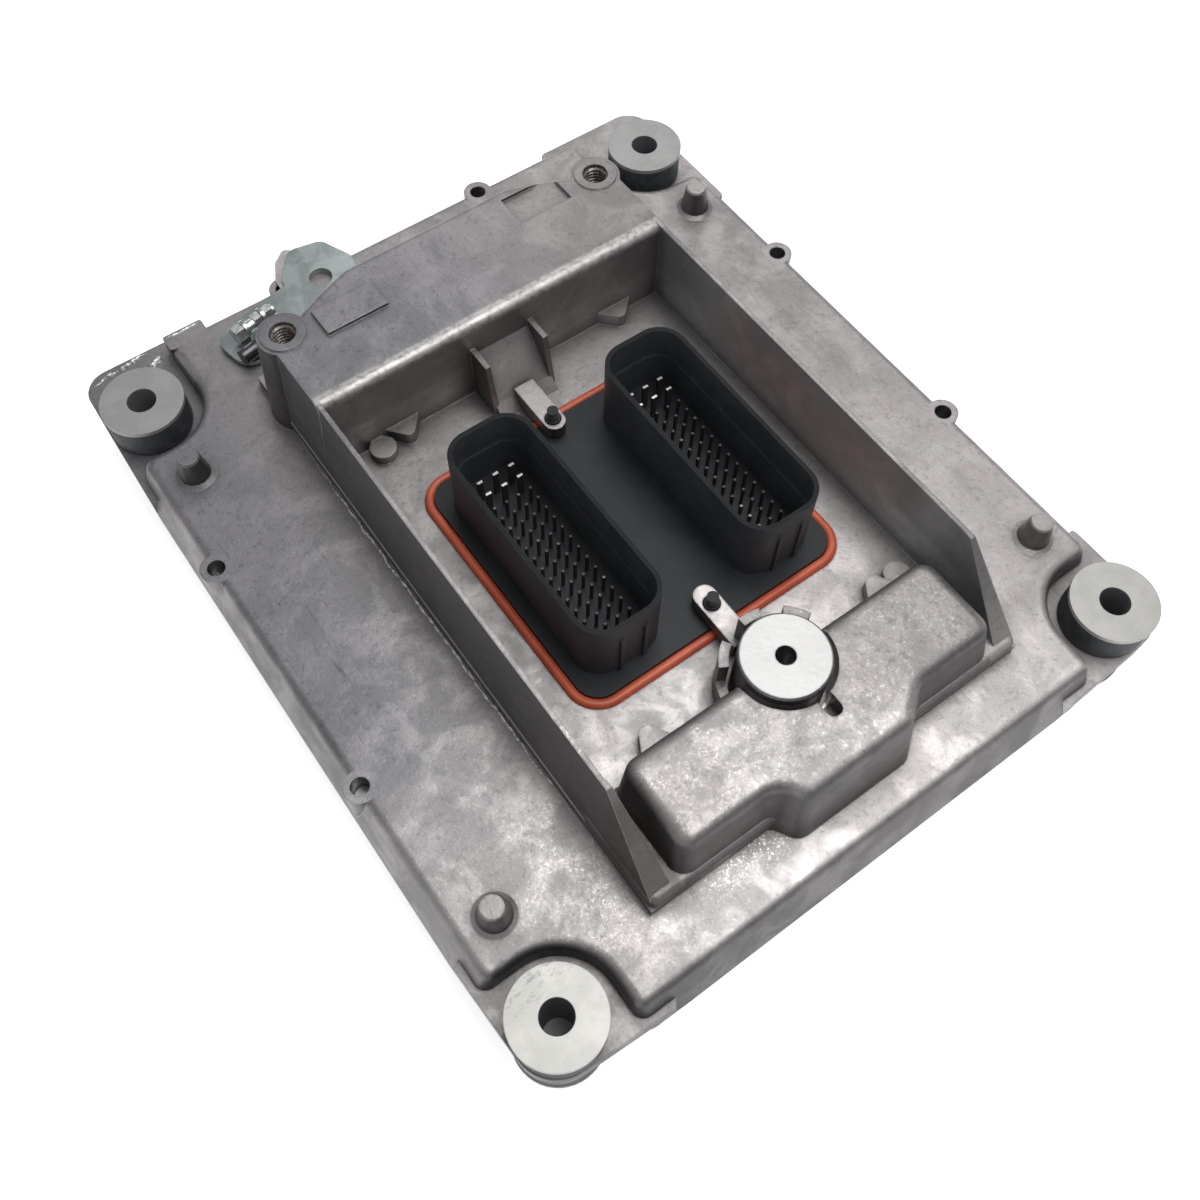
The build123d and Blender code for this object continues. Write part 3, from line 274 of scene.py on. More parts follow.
def cast_aluminium():
    """Pressure-cast aluminium: mottled grey, sandy grain, machined faces, painted highlights on
    edges, painted shade on upright faces and in corners.
    """
    f = Finish("cast_aluminium_body", edge=0.7)
    broad = f.noise(0.014, 3, 0.5)
    cloud = f.noise(0.07, 6, 0.62, warp=0.6)
    flow = f.noise(0.05, 5, 0.6, stretch=(1.0, 0.35, 1.0), warp=0.3)
    fine = f.noise(0.55, 5, 0.65)
    grain = f.noise(1.7, 3, 0.6)
    flakes = f.noise(0.75, 7, 0.74, warp=1.0)
    drag = f.noise(1.0, 5, 0.7, stretch=(1.0, 0.10, 1.0), warp=0.8)
    colour = f.mix(f.spread(broad, 0.35, 0.65), (0.225, 0.217, 0.214), (0.285, 0.268, 0.262))
    colour = f.mix(f.spread(cloud, 0.42, 0.66, 0.0, 0.65), colour, (0.375, 0.352, 0.344))
    colour = f.mix(f.spread(flow, 0.56, 0.72, 0.0, 0.6), colour, (0.160, 0.155, 0.156))
    colour = f.mix(f.spread(fine, 0.30, 0.48, 0.45, 0.0), colour, (0.120, 0.117, 0.118))
    colour = f.mix(f.spread(grain, 0.55, 0.75, 0.0, 0.35), colour, (0.520, 0.500, 0.492))

    # parts of the casting; near is where y is low, left is where x is low
    flat = f.upward(0.6, 0.95)
    steep = f.remainder(f.upward(0.35, 0.9))
    left = f.spread(f.x, -60.0, -100.0)
    all_but_left = f.spread(f.x, -78.0, -48.0)
    far = f.spread(f.y, -85.0, 10.0)
    near_strip = f.spread(f.y, -97.0, -112.0)
    blocks = f.spread(f.z, 44.0, 48.0)
    far_block = f.times(blocks, f.spread(f.y, 20.0, 50.0))
    near_block = f.times(blocks, f.spread(f.y, -50.0, -60.0))
    well_near = f.times(f.spread(f.y, -25.0, -62.0), f.spread(f.y, -98.0, -90.0),
                        f.spread(f.z, 35.0, 33.0))

    # spangle near the front left corner and on the near block: flaky mottling on up-facing faces,
    # its bright flakes a painted sparkle highlight
    corner = f.times(f.spread(f.away_from(-70.0, -92.0), 45.0, 5.0), flat,
                     f.spread(cloud, 0.38, 0.60))
    block_top = f.times(blocks, f.spread(f.y, -55.0, -65.0), flat,
                        f.spread(cloud, 0.44, 0.56, 0.2, 0.8))
    spangle_and_sparkle = f.calc("MAXIMUM", corner, block_top)
    colour = f.mix(f.times(spangle_and_sparkle, f.spread(flakes, 0.52, 0.66, 0.0, 0.75)), colour,
                   (0.60, 0.57, 0.54))
    colour = f.mix(f.times(spangle_and_sparkle, f.spread(flakes, 0.34, 0.46, 0.7, 0.0)), colour,
                   (0.150, 0.138, 0.136))

    # drag marks and pits at the left and on the far block's left part
    far_block_left = f.times(f.spread(f.y, 58.0, 64.0), f.spread(f.x, 50.0, -30.0), blocks)
    worn = f.times(f.calc("MAXIMUM", far_block_left, f.times(left, far)), flat)
    colour = f.mix(f.times(worn, f.spread(drag, 0.58, 0.69, 0.0, 0.6)), colour,
                   (0.100, 0.102, 0.108))
    pits = f.spread(f.noise(0.62, 6, 0.75), f.blend(worn, 0.66, 0.60), f.blend(worn, 0.72, 0.66))
    colour = f.mix(f.times(pits, f.blend(worn, 0.3, 0.7)), colour, (0.080, 0.080, 0.083))

    # painted glint: a sparkling band of painted highlight on the roof in front of the near block
    glint = f.times(f.spread(f.y, -119.0, -111.0), f.spread(f.y, -95.0, -99.0),
                    f.spread(f.z, ROOF_Z + 3.0, ROOF_Z + 2.0),
                    f.spread(f.x, -56.0, -40.0), f.spread(f.x, 25.0, -10.0), flat,
                    f.spread(f.noise(1.3, 6, 0.78), 0.54, 0.62))
    colour = f.mix(f.times(glint, 0.9), colour, (0.86, 0.83, 0.70))
    colour = f.tinted(colour, worn, (0.93, 0.96, 1.04))

    # darker at the left and on both blocks, lighter in the near well, a painted highlight along the
    # near side, darker there at the left
    for share, factor in (
        (f.times(left, far), 0.76),
        (f.times(near_strip, all_but_left), 1.55),
        (far_block, 0.76),
        (near_block, f.spread(f.x, -50.0, 55.0, 0.92, 0.70)),
        (well_near, 1.20),
        (f.times(near_strip, left), 0.64),
    ):
        colour = f.scaled_in(colour, share, factor)

    # painted shade on upright faces, least where they look left across the well, where they are
    # painted lighter
    colour = f.mix(f.times(steep, 0.52), colour, (0.112, 0.108, 0.108))
    to_left = f.looking(0, -0.4, -0.8)
    across_well = f.times(to_left, f.spread(f.x, 20.0, 50.0), f.spread(f.x, 80.0, 72.0))
    colour = f.scaled_in(f.tinted(colour, across_well, (0.92, 1.0, 1.03)), across_well, 2.5)
    # painted shade on both faces of the left rib
    left_rib_inside = f.times(f.looking(0, 0.4, 0.8), f.spread(f.x, -50.0, -55.0))
    colour = f.scaled_in(colour, left_rib_inside, 0.62)
    left_rib_outside = f.times(to_left, f.spread(f.x, -50.0, -55.0),
                               f.spread(f.z, ROOF_Z + 0.2, ROOF_Z + 1.5))
    colour = f.scaled_in(colour, left_rib_outside, 0.62)
    # painted shade on faces that look to the near side, less on the rib slope, and painted light on
    # the far wall of the well
    to_near = f.times(f.looking(1, -0.35, -0.75), f.spread(f.z, 8.0, 12.0))
    far_wall = f.times(f.spread(f.y, 28.0, 30.0), f.spread(f.y, 60.0, 59.0))
    rib_slope = f.times(f.spread(f.aside(), 54.0, 55.0), f.spread(f.z, 29.0, 31.0),
                        f.spread(f.y, -80.0, -84.0))
    colour = f.scaled_in(colour, to_near,
                         f.blend(rib_slope, f.blend(far_wall, 0.46, 1.35), 0.85))
    # painted light on the tops of the arms
    arms = f.times(f.spread(f.aside(), 6.0, 5.6), f.spread(f.z, 38.5, 38.9),
                   f.spread(f.z, 39.6, 39.2), flat)
    colour = f.scaled_in(colour, arms, 1.35)
    # painted shade at the end of the left rib
    left_rib_end = f.times(f.spread(f.x, -54.0, -56.0), f.spread(f.x, -66.5, -66.0),
                           f.spread(f.y, -84.0, -88.0), f.spread(f.z, 29.0, 30.0))
    colour = f.mix(f.times(left_rib_end, 0.6), colour, (0.085, 0.078, 0.066))

    # painted shade in the corners from ambient occlusion, broken up by the cloud, but not in the
    # pocket round the boss, which is painted lighter over its shade
    off_boss = f.away_from(BOSS_X, BOSS_Y)
    pocket = f.times(f.spread(off_boss, 15.6, 15.2), f.spread(f.z, 51.6, 51.0),
                     f.spread(f.y, -76.0, -80.0))
    crease_shade = f.times(f.creases(6.0, 0.45, 0.95), f.spread(cloud, 0.25, 0.6, 0.32, 0.68),
                   f.remainder(pocket))
    colour = f.scaled_in(f.mix(crease_shade, colour, (0.070, 0.066, 0.063)), pocket, 3.2)

    # painted highlight on edges, brightest on the lip at the top of the well's far wall
    colour = f.mix(f.times(f.edge_share(0.5), 0.7), colour, (0.660, 0.640, 0.628))
    lip = f.times(f.spread(f.y, 56.0, 56.6), f.spread(f.y, 61.6, 60.4),
                  f.spread(f.z, 58.6, 60.2), f.spread(f.aside(), 62.5, 61.5))
    colour = f.mix(f.times(lip, f.spread(fine, 0.3, 0.6, 0.1, 0.45)), colour,
                   (0.640, 0.622, 0.600))

    # machined face of the boss, threaded holes of the far block painted dark brown inside
    face = f.times(f.within(off_boss, BOSS_RADIUS), f.spread(f.z, 54.7, 54.78))
    colour = f.mix(face, colour, (0.50, 0.497, 0.49))
    holes = f.times(f.within(f.away_from_four(M8_X, M8_Y), M8_DARK_RADIUS, 0.2),
                    f.spread(f.z, 62.4, 61.9), f.spread(f.y, 80.0, 82.0))
    colour = f.mix(holes, colour, (0.055, 0.046, 0.040))

    rough = f.blend(f.spread(cloud, 0.35, 0.65), 0.52, 0.38)
    rough = f.blend(f.times(spangle_and_sparkle, f.spread(flakes, 0.5, 0.62)), rough, 0.34)
    rough = f.blend(face, rough, 0.34)
    f.bump(f.noise(0.16, 3, 0.5), 0.22, 0.5)
    f.bump(fine, 0.10, 0.7)
    f.bump(grain, 0.05, 0.6)
    f.bump(f.times(flakes, spangle_and_sparkle), 0.06, 0.7)
    turning_lines = f.calc("SINE", f.times(off_boss, 24.0))
    f.bump(f.times(turning_lines, face), 0.006, 0.8)
    return f.done(colour, rough, f.blend(face, 0.72, 0.25))


def cover_metal():
    """Cast cover, greyer and plainer than the housing."""
    f = Finish("cover_cast_metal", edge=0.4)
    cloud = f.noise(0.05, 5, 0.6, warp=0.4)
    fine = f.noise(0.6, 5, 0.65)
    colour = f.mix(f.spread(cloud, 0.4, 0.62), (0.22, 0.215, 0.212), (0.34, 0.33, 0.325))
    colour = f.mix(f.spread(fine, 0.3, 0.46, 0.4, 0.0), colour, (0.12, 0.12, 0.12))
    f.bump(fine, 0.08, 0.7)
    return f.done(colour, f.blend(cloud, 0.5, 0.38), 0.7)


def speckled(name, dark, light, rough, metallic, scale=0.5):
    """Plain finish with fine two-tone grain and a little relief."""
    f = Finish(name, edge=0.3)
    cloud = f.noise(scale * 0.12, 4, 0.6)
    fine = f.noise(scale, 5, 0.65)
    both = f.calc("ADD", f.times(cloud, 0.6), f.times(fine, 0.4))
    colour = f.mix(f.spread(both, 0.38, 0.62), dark, light)
    f.bump(fine, 0.03, 0.7)
    return f.done(colour, f.blend(fine, rough[0], rough[1]), metallic)


def header_plastic():
    """Glass-filled black nylon with a faint sheen, swirl and dust, painted darker on upward faces,
    with painted highlights on edges.
    """
    f = Finish("header_black_nylon", edge=0.25)
    swirl = f.noise(0.05, 4, 0.6, warp=1.2)
    fine = f.noise(1.6, 4, 0.7)
    flat = f.upward(0.5, 0.9)
    # painted light and shade: upward faces painted darker than upright ones
    dark = f.mix(flat, (0.0450, 0.0480, 0.0550), (0.0155, 0.0170, 0.0190))
    light = f.mix(flat, (0.0600, 0.0640, 0.0690), (0.0225, 0.0240, 0.0265))
    colour = f.mix(f.spread(swirl, 0.4, 0.65), dark, light)
    # painted shade on the rim top and the socket floor
    rim = f.times(flat, f.spread(f.z, 58.0, 58.6))
    colour = f.scaled_in(colour, rim, 0.6)
    socket_floor = f.times(f.spread(f.aside(), 15.5, 15.9), f.spread(f.z, 34.2, 34.5),
                           f.spread(f.z, 41.0, 40.0), flat)
    colour = f.scaled_in(colour, socket_floor, 0.7)
    dust = f.spread(f.noise(0.8, 6, 0.75), 0.64, 0.74)
    colour = f.mix(f.times(dust, 0.5), colour, (0.085, 0.086, 0.088))
    colour = f.mix(f.spread(fine, 0.62, 0.78, 0.0, 0.25), colour, (0.045, 0.045, 0.046))
    # painted highlight along edges
    colour = f.mix(f.times(f.edge_share(0.22), 0.75), colour, (0.135, 0.140, 0.142))
    sheen = f.blend(flat, 0.36, f.blend(rim, 0.26, 0.12))
    f.feed(f.shader.inputs["Specular IOR Level"], sheen)
    f.bump(fine, 0.02, 0.6)
    return f.done(colour, f.blend(swirl, 0.42, 0.55))


def seal_silicone():
    """Orange-red silicone, a little cloudy."""
    f = Finish("seal_silicone", Roughness=0.42, Subsurface_Weight=0.08, Subsurface_Scale=0.001)
    cloud = f.noise(0.08, 4, 0.6)
    fine = f.noise(1.2, 3, 0.6)
    colour = f.mix(f.spread(cloud, 0.35, 0.65), (0.45, 0.078, 0.034), (0.56, 0.112, 0.052))
    colour = f.mix(f.spread(fine, 0.6, 0.8, 0.0, 0.3), colour, (0.30, 0.06, 0.04))
    f.bump(fine, 0.02, 0.5)
    return f.done(colour)


def board_mask():
    """Green solder mask over copper tracks."""
    f = Finish("board_solder_mask", Roughness=0.38)
    brick = f.add("ShaderNodeTexBrick")
    f.join(f.place, brick.inputs["Vector"])
    brick.inputs["Scale"].default_value = 0.25
    brick.inputs["Mortar Size"].default_value = 0.03
    tracks = f.spread(f.cell_edges(0.35), 0.06, 0.02)
    colour = f.mix(tracks, (0.010, 0.075, 0.030), (0.035, 0.16, 0.07))
    colour = f.mix(f.times(brick.outputs["Fac"], 0.4), colour, (0.02, 0.12, 0.05))
    f.bump(f.noise(2.0, 2, 0.5), 0.01, 0.6)
    return f.done(colour)


def wound_core():
    """Ferrite drum with turns of lacquered copper between its flanges."""
    f = Finish("inductor_core", Roughness=0.4)
    low, high, wire = 23.0, 35.0, 1.1
    turns = f.calc("SINE", f.times(f.z, 2 * math.pi / wire))
    wound = f.times(f.spread(f.z, low, low + 0.1), f.spread(f.z, high + 0.1, high))
    colour = f.mix(wound, (0.03, 0.03, 0.032), (0.48, 0.16, 0.06))
    f.bump(f.times(turns, wound), 0.2, 0.9)
    return f.done(colour, metallic=f.times(wound, 0.8))


def can_metal():
    """Aluminium can in a dark sleeve with a bare scored top."""
    f = Finish("capacitor_sleeve", Roughness=0.35)
    fine = f.noise(0.9, 4, 0.6)
    top = f.upward(0.8, 0.95)
    colour = f.mix(top, (0.02, 0.022, 0.03), (0.62, 0.62, 0.62))
    colour = f.mix(f.spread(fine, 0.5, 0.8, 0.0, 0.3), colour, (0.10, 0.10, 0.11))
    return f.done(colour, metallic=f.times(top, 0.9))


def rubber():
    """Charcoal rubber with a dusty bloom and fine pores."""
    f = Finish("isolator_charcoal_rubber", edge=0.4, Roughness=0.68)
    cloud = f.noise(0.12, 5, 0.65)
    fine = f.noise(1.4, 4, 0.7)
    colour = f.mix(f.spread(cloud, 0.38, 0.62), (0.026, 0.030, 0.034), (0.054, 0.060, 0.064))
    colour = f.mix(f.spread(fine, 0.58, 0.75, 0.0, 0.4), colour, (0.12, 0.125, 0.13))
    f.bump(fine, 0.05, 0.7)
    return f.done(colour)


def washer_zinc():
    """Dull zinc on steel: pale grey-green, painted highlights on edges, painted light at the near
    left corner and painted shade towards the rear.
    """
    f = Finish("washer_dull_zinc", edge=0.35)
    cloud = f.noise(0.10, 5, 0.6)
    fine = f.noise(1.1, 4, 0.65)
    near = f.spread(f.y, 10.0, -10.0)
    left = f.spread(f.x, 10.0, -10.0)
    colour = f.mix(f.spread(cloud, 0.36, 0.64), (0.372, 0.380, 0.368), (0.425, 0.432, 0.420))
    colour = f.mix(f.spread(fine, 0.3, 0.45, 0.3, 0.0), colour, (0.25, 0.26, 0.25))
    # painted light and shade: darker at the rear, lightest at the near left corner
    colour = f.scaled(colour, f.blend(near, 0.74, f.blend(left, 1.03, 1.22)))
    colour = f.tinted(colour, near, (1.03, 1.0, 0.97))
    drag = f.noise(0.9, 5, 0.7, stretch=(0.35, 1.0, 1.0), warp=0.6)
    scored = f.times(f.spread(drag, 0.53, 0.61), near, left, f.spread(f.y, -113.0, -103.0),
                     f.upward(0.8, 0.95))
    colour = f.mix(f.times(scored, 0.6), colour, (0.20, 0.20, 0.19))
    # painted highlight along edges
    colour = f.mix(f.times(f.edge_share(0.3), 0.4), colour, (0.66, 0.67, 0.65))
    # painted shade inside the bores
    bore = f.times(f.within(f.away_from_four(ISOLATOR_X, ISOLATOR_Y), BORE_RADIUS),
                   f.spread(f.z, 31.8, 31.2))
    colour = f.mix(bore, colour, (0.21, 0.21, 0.22))
    f.bump(fine, 0.035, 0.6)
    return f.done(colour, f.blend(cloud, 0.50, 0.44), 0.40)


def bracket_zinc():
    """Smooth zinc plate with a green-grey cast and soft waves."""
    f = Finish("bracket_zinc_plate", edge=0.3)
    cloud = f.noise(0.09, 4, 0.6, warp=0.5)
    fine = f.noise(1.0, 4, 0.6)
    colour = f.mix(f.spread(cloud, 0.38, 0.62), (0.250, 0.290, 0.280), (0.37, 0.41, 0.40))
    f.bump(f.noise(0.25, 3, 0.5), 0.05, 0.5)
    f.bump(fine, 0.02, 0.5)
    return f.done(colour, f.blend(cloud, 0.30, 0.22), 0.85)


def bright_zinc(name, light):
    """Shiny zinc plate of small fasteners."""
    f = Finish(name, edge=0.25)
    cloud = f.noise(0.4, 4, 0.6)
    colour = f.mix(f.spread(cloud, 0.4, 0.6), tuple(0.62 * c for c in light), light)
    f.bump(f.noise(1.5, 3, 0.6), 0.02, 0.5)
    return f.done(colour, f.blend(cloud, 0.30, 0.18), 0.95)


def contact_tin(name, body, tip, tip_z, spread_of_tips):
    """Tinned contact with painted shade down its sides and a painted highlight at its tip."""
    f = Finish(name, edge=0.08)
    cloud = f.noise(0.5, 3, 0.6)
    lit = f.times(f.spread(f.z, tip_z - 0.25, tip_z + 0.05),
                  f.spread(f.noise(0.31, 2, 0.5), *spread_of_tips))
    colour = f.mix(lit, f.scaled(body, f.blend(cloud, 0.7, 1.5)), tip)
    f.bump(f.noise(3.0, 2, 0.6), 0.006, 0.5)
    return f.done(colour, f.blend(lit, 0.45, 0.28), f.blend(lit, 0.35, 0.7))


finishes = {
    "housing": cast_aluminium(),
    "base_cover": cover_metal(),
    "cover_gasket": speckled("gasket_paper", (0.018, 0.018, 0.019), (0.045, 0.045, 0.047),
                             (0.8, 0.6), 0.0),
    "cover_screws": bright_zinc("cover_screw_zinc", (0.55, 0.56, 0.57)),
    "connector_header": header_plastic(),
    "header_seal": seal_silicone(),
    # the contacts' body colours are painted shade, their tip colours painted highlights
    "signal_pins": contact_tin("signal_contact_tin", (0.034, 0.034, 0.037), (0.14, 0.14, 0.15),
                               42.95, (0.55, 0.66)),
    "power_pins": contact_tin("power_contact_tin", (0.040, 0.040, 0.043), (0.62, 0.62, 0.63),
                              44.95, (0.0, 0.1)),
    "circuit_board": board_mask(),
    "board_screws": bright_zinc("board_screw_zinc", (0.60, 0.60, 0.60)),
    "processor": speckled("processor_epoxy", (0.012, 0.012, 0.013), (0.03, 0.03, 0.032),
                          (0.6, 0.45), 0.0, 1.5),
    "memory_chip": speckled("memory_epoxy", (0.010, 0.010, 0.011), (0.026, 0.026, 0.028),
                            (0.6, 0.45), 0.0, 1.5),
    "crystal": speckled("crystal_can_metal", (0.50, 0.50, 0.50), (0.66, 0.66, 0.65),
                        (0.35, 0.25), 0.9, 0.8),
    "power_transistors": speckled("transistor_epoxy", (0.014, 0.014, 0.015),
                                  (0.034, 0.034, 0.036), (0.6, 0.5), 0.0, 1.2),
    "thermal_pads": speckled("thermal_pad_silicone", (0.34, 0.36, 0.40), (0.44, 0.46, 0.50),
                             (0.85, 0.7), 0.0, 0.9),
    "large_capacitors": can_metal(),
    "small_capacitors": can_metal(),
    "inductor": wound_core(),
    "isolator_washers": washer_zinc(),
    "side_bracket": bracket_zinc(),
    "bracket_backing": speckled("backing_zinc", (0.36, 0.33, 0.33), (0.50, 0.46, 0.46),
                                (0.42, 0.3), 0.8, 0.8),
    "bracket_screw": bright_zinc("clamp_screw_zinc", (0.78, 0.79, 0.80)),
    "bracket_nuts": bright_zinc("clamp_nut_zinc", (0.80, 0.81, 0.82)),
    "bracket_stop_pin": speckled("stop_pin_steel", (0.03, 0.03, 0.032), (0.07, 0.07, 0.075),
                                 (0.3, 0.2), 0.8, 0.8),
}
washer_finish = finishes["isolator_washers"]
rubber_finish = rubber()
for corner in ("front_left", "front_right", "rear_left", "rear_right"):
    finishes["isolator_sleeve_" + corner] = washer_finish
    finishes["isolator_rubber_" + corner] = rubber_finish
for name, material in finishes.items():
    slots = nodes[name].data.materials
    for index in range(len(slots)):
        slots[index] = material
    if not slots:
        slots.append(material)


def new_piece(name, points, faces, material, smooth=True):
    """A mesh piece in the row frame that rides on the one body."""
    mesh = bpy.data.meshes.new(name)
    mesh.from_pydata([tuple(p) for p in points], [], faces)
    mesh.validate()
    mesh.update()
    mesh.materials.append(material)
    for polygon in mesh.polygons:
        polygon.use_smooth = smooth
    piece = bpy.data.objects.new(name, mesh)
    scene.collection.objects.link(piece)
    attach(piece, "root")
    return piece


def rounded_loop(low_x, high_x, low_y, high_y, corner, steps=14):
    """Points and outward directions round a rounded rectangle, in metres."""
    loop = []
    centres = (
        (high_x - corner, high_y - corner, 0.0),
        (low_x + corner, high_y - corner, 0.5 * math.pi),
        (low_x + corner, low_y + corner, math.pi),
        (high_x - corner, low_y + corner, 1.5 * math.pi),
    )
    for x, y, start in centres:
        for step in range(steps + 1):
            angle = start + 0.5 * math.pi * step / steps
            out = Vector((math.cos(angle), math.sin(angle), 0.0))
            loop.append((Vector((x, y, 0.0)) + out * corner, out))
    return loop


def filled_in(loop, pitch):
    """The same loop with points added on its long straight sides."""
    dense = []
    for index, (point, out) in enumerate(loop):
        follower, next_out = loop[(index + 1) % len(loop)]
        count = max(1, round((follower - point).length / pitch))
        for step in range(count):
            share = step / count
            dense.append((point.lerp(follower, share), out.lerp(next_out, share).normalized()))
    return dense


def ring_faces(rows, columns):
    """Quads of a closed tube: rows round the loop, columns round the section."""
    faces = []
    for row in range(rows):
        for column in range(columns):
            a = row * columns + column
            b = row * columns + (column + 1) % columns
            c = ((row + 1) % rows) * columns + (column + 1) % columns
            d = ((row + 1) % rows) * columns + column
            faces.append((a, b, c, d))
    return faces


def seal_bead():
    """Soft round-topped bead with slight unevenness, in the gap round the header."""
    low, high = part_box("header_seal")
    width, corner, pitch, unevenness = 3.15 * MM, 9.0 * MM, 2.5 * MM, 0.12 * MM
    top, bottom = high.z, low.z + 0.6 * MM
    middle = 0.5 * width
    loop = rounded_loop(low.x + middle, high.x - middle, low.y + middle, high.y - middle, corner)
    loop = filled_in(loop, pitch)
    # shares of the width and of the height, from one foot over the top to the other
    section = [(-0.5, 0.0), (-0.5, 0.62), (-0.46, 0.76), (-0.36, 0.89), (-0.2, 0.97), (0.0, 1.0),
               (0.2, 0.97), (0.36, 0.89), (0.46, 0.76), (0.5, 0.62), (0.5, 0.0)]
    points = []
    for point, out in loop:
        sway = noise.noise(point * 90.0) - 0.5
        for across, rise in section:
            height = bottom + (top - bottom) * rise
            if rise > 0.6:
                height += sway * unevenness
            spot = point + out * (across * width * (0.985 if rise < 0.7 else 0.97))
            points.append((spot.x, spot.y, height))
    piece = new_piece("header_seal_bead", points, ring_faces(len(loop), len(section)),
                      finishes["header_seal"])
    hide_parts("header_seal")


def thread(name, x, y, top, depth, radius, pitch, material):
    """Screw thread ridges standing in from a hole's wall, as one helical strip."""
    turn = 28
    count = int(depth / pitch * turn)
    points = []
    for step in range(count + 1):
        angle = 2 * math.pi * step / turn
        level = top - pitch * step / turn
        fade = min(1.0, step / turn, (count - step) / turn)
        crest = radius - 0.55 * pitch * max(fade, 0.05)
        for reach, rise in ((radius, 0.44), (crest, 0.08), (crest, -0.08), (radius, -0.44)):
            points.append((x + reach * math.cos(angle), y + reach * math.sin(angle),
                           level + rise * pitch))
    faces = []
    for step in range(count):
        for column in range(3):
            a = step * 4 + column
            faces.append((a, a + 1, a + 5, a + 4))
    return new_piece(name, points, faces, material, smooth=False)


def thread_metal():
    """Cut aluminium, dark brown and mottled."""
    f = Finish("cut_thread_metal", Metallic=0.6)
    fine = f.noise(1.0, 3, 0.6)
    colour = f.mix(f.spread(fine, 0.4, 0.6), (0.085, 0.072, 0.062), (0.21, 0.19, 0.17))
    return f.done(colour, f.blend(fine, 0.45, 0.3))


seal_bead()
cut_metal = thread_metal()
for side, label in ((-1, "left"), (1, "right")):
    thread("m8_thread_" + label, side * M8_X * MM, M8_Y * MM, top=62.1 * MM, depth=17 * MM,
           radius=3.98 * MM, pitch=1.25 * MM, material=cut_metal)


def flash_metal():
    """Bare torn aluminium, bright on its ridges."""
    f = Finish("torn_flash_metal", Metallic=0.7, Roughness=0.36)
    fine = f.noise(0.8, 5, 0.7)
    colour = f.mix(f.spread(fine, 0.38, 0.62), (0.20, 0.195, 0.185), (0.62, 0.61, 0.59))
    f.bump(fine, 0.15, 0.8)
    return f.done(colour)


def ragged_strip(name, start, end, width, height, seed, material):
    """Uneven ridge of cast flash along a line; lengths in millimetres."""
    first, last = Vector(start) * MM, Vector(end) * MM
    along = last - first
    side = Vector((along.y, -along.x, 0.0)).normalized()
    count = max(8, int(along.length / (0.8 * MM)))
    points, faces = [], []
    for step in range(count + 1):
        spot = first.lerp(last, step / count)
        fade = min(1.0, 4 * step / count, 4 * (count - step) / count)
        wander = noise.noise(Vector((seed, 0.23 * step, 1.7)))
        ripple = noise.noise(Vector((seed + 9.1, 0.71 * step, 3.3)))
        half = max(0.12, width * (0.5 + 0.45 * ripple)) * fade * MM
        crest = max(0.04, height * (0.65 + 0.9 * ripple)) * fade * MM
        spot += side * (0.5 * width * wander * MM)
        for across, rise in ((-1.0, -0.25 * MM), (-0.35, crest), (0.3, 0.8 * crest),
                             (1.0, -0.25 * MM)):
            points.append(spot + side * (across * half) + Vector((0.0, 0.0, rise)))
    for step in range(count):
        for column in range(3):
            a = 4 * step + column
            faces.append((a, a + 4, a + 5, a + 1))
    return new_piece(name, points, faces, material)


flash = flash_metal()
for name, start, end, width, height, seed in (
    ("rib_foot_flash", (-65.9, 74.0, ROOF_Z), (-65.9, -86.0, ROOF_Z), 1.1, 0.7, 2.4),
    ("ear_edge_flash", (-110.2, 139.2, EAR_Z), (-88.0, 142.4, EAR_Z), 1.8, 1.3, 5.1),
    ("ear_burr", (-91.5, 135.6, EAR_Z), (-85.0, 138.6, EAR_Z), 3.4, 2.4, 8.3),
    ("gate_stub_burr", (-82.0, 137.0, ROOF_Z), (-69.0, 137.2, ROOF_Z), 1.2, 0.5, 11.9),
):
    ragged_strip(name, start, end, width, height, seed, flash)


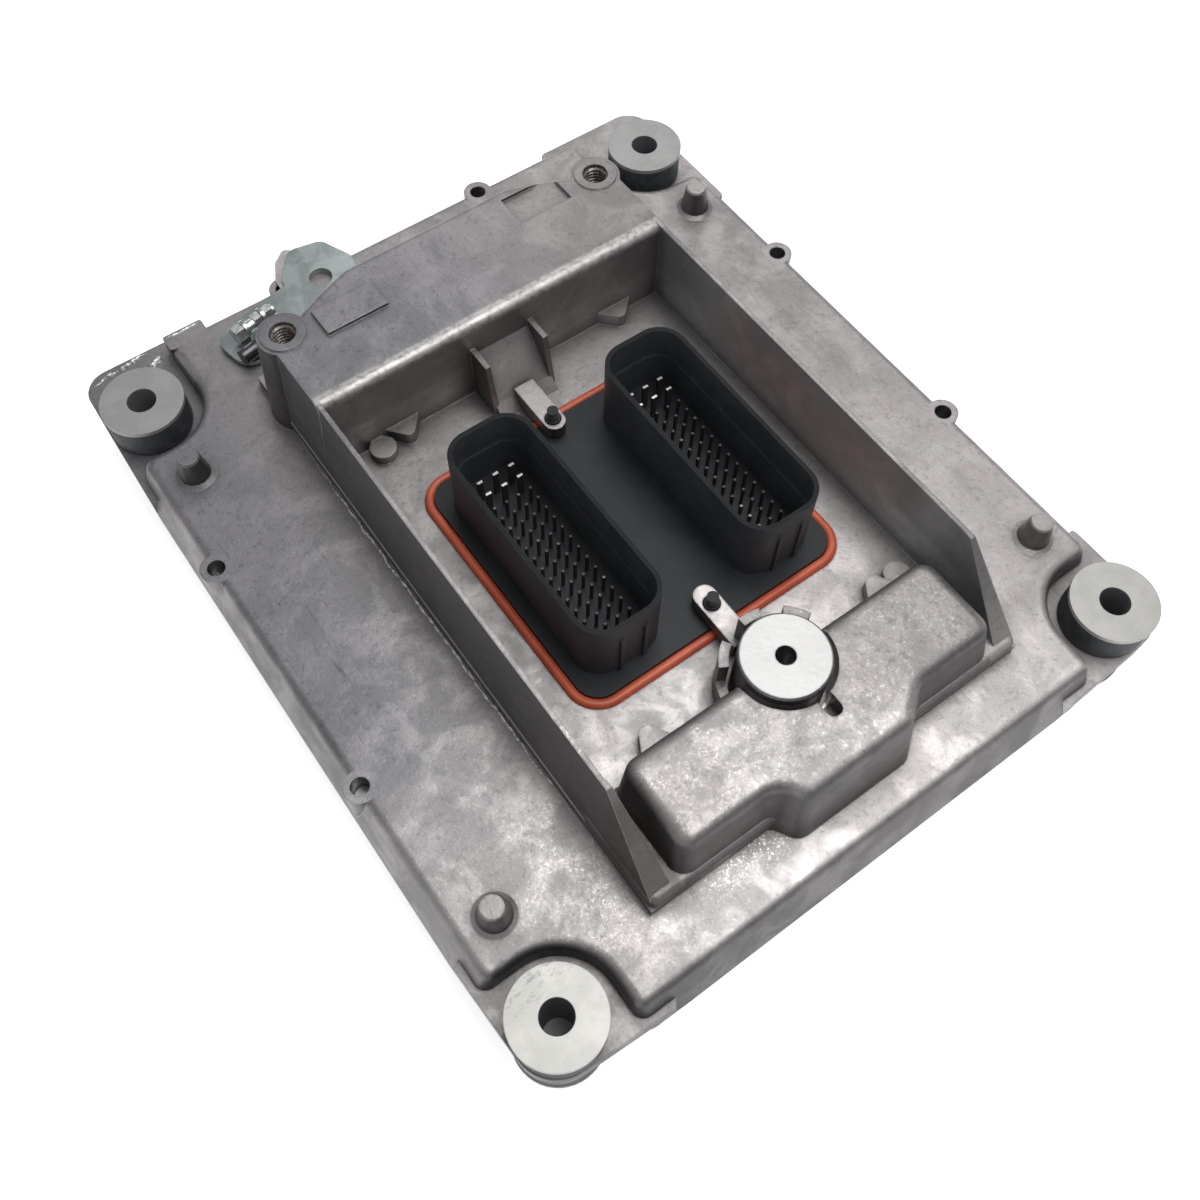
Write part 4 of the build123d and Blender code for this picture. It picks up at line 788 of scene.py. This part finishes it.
def floor():
    """Pale paper; away from the part the camera and the metal see it lifted to white."""
    size, drop = 6.0, 0.0002
    footprint = (108 * MM, 124 * MM)
    mesh = bpy.data.meshes.new("studio_floor")
    mesh.from_pydata([(-size, -size, 0), (size, -size, 0), (size, size, 0), (-size, size, 0)], [],
                     [(0, 1, 2, 3)])
    piece = bpy.data.objects.new("studio_floor", mesh)
    piece.location.z = -drop
    scene.collection.objects.link(piece)
    material = bpy.data.materials.new("studio_floor_paper")
    material.use_nodes = True
    g = Graph(material.node_tree)
    paper = g.add("ShaderNodeBsdfDiffuse")
    g.feed(paper.inputs["Color"], (0.80, 0.80, 0.80))
    rays = g.add("ShaderNodeLightPath").outputs
    seen = g.calc("MAXIMUM", rays["Is Camera Ray"], rays["Is Transmission Ray"])
    seen = g.calc("MAXIMUM", seen, rays["Is Glossy Ray"])
    split = g.add("ShaderNodeSeparateXYZ")
    g.join(g.add("ShaderNodeTexCoord").outputs["Object"], split.inputs[0])
    beyond = [g.calc("GREATER_THAN", g.calc("ABSOLUTE", value), limit)
              for value, limit in zip(split.outputs, footprint)]
    strength = g.calc("MULTIPLY", g.calc("MAXIMUM", *beyond), 0.70)
    glow = g.add("ShaderNodeEmission")
    g.join(g.calc("MULTIPLY", seen, strength), glow.inputs["Strength"])
    both = g.add("ShaderNodeAddShader")
    g.join(paper.outputs[0], both.inputs[0])
    g.join(glow.outputs[0], both.inputs[1])
    g.join(both.outputs[0], g.add("ShaderNodeOutputMaterial").inputs["Surface"])
    mesh.materials.append(material)


def world():
    """Pale room, a little brighter overhead."""
    room = bpy.data.worlds.new("studio_room")
    room.use_nodes = True
    g = Graph(room.node_tree)
    split = g.add("ShaderNodeSeparateXYZ")
    g.join(g.add("ShaderNodeTexCoord").outputs["Generated"], split.inputs[0])
    ramp = g.add("ShaderNodeValToRGB")
    level, overhead = ramp.color_ramp.elements
    level.position, level.color = 0.0, (0.34, 0.34, 0.35, 1)
    overhead.position, overhead.color = 0.9, (0.52, 0.52, 0.53, 1)
    g.join(split.outputs["Z"], ramp.inputs[0])
    back = g.add("ShaderNodeBackground")
    g.join(ramp.outputs[0], back.inputs["Color"])
    g.join(back.outputs[0], g.add("ShaderNodeOutputWorld").inputs["Surface"])
    scene.world = room


def lamp(name, place, size, power):
    """White area lamp that points at the part's middle."""
    data = bpy.data.lights.new(name, "AREA")
    data.shape = "RECTANGLE"
    data.size, data.size_y = size
    data.energy = power
    obj = bpy.data.objects.new(name, data)
    obj.location = place
    obj.rotation_mode = "QUATERNION"
    obj.rotation_quaternion = (-Vector(place)).to_track_quat("-Z", "Y")
    scene.collection.objects.link(obj)


def camera():
    """Camera at the photograph's place, looking steeply down from before the near left corner."""
    right = Vector((0.81060, -0.58547, 0.01278))
    up = Vector((0.51311, 0.72059, 0.46633))
    back = -Vector((0.28223, 0.37145, -0.88452))
    data = bpy.data.cameras.new("photo_camera")
    data.lens = 36.26
    data.sensor_width = 36.0
    data.clip_start, data.clip_end = 0.01, 20.0
    obj = bpy.data.objects.new("photo_camera", data)
    turn = Matrix((right, up, back)).transposed().to_4x4()
    obj.matrix_world = Matrix.Translation((-0.12229, -0.15781, 0.34301)) @ turn
    scene.collection.objects.link(obj)
    scene.camera = obj


floor()
world()
camera()
lamp("overhead", (0.22, -0.06, 1.1), (1.0, 0.5), 8.5)
lamp("far_fill", (0.7, 0.9, 0.9), (0.8, 0.8), 2.5)
scene.view_settings.view_transform = "Standard"
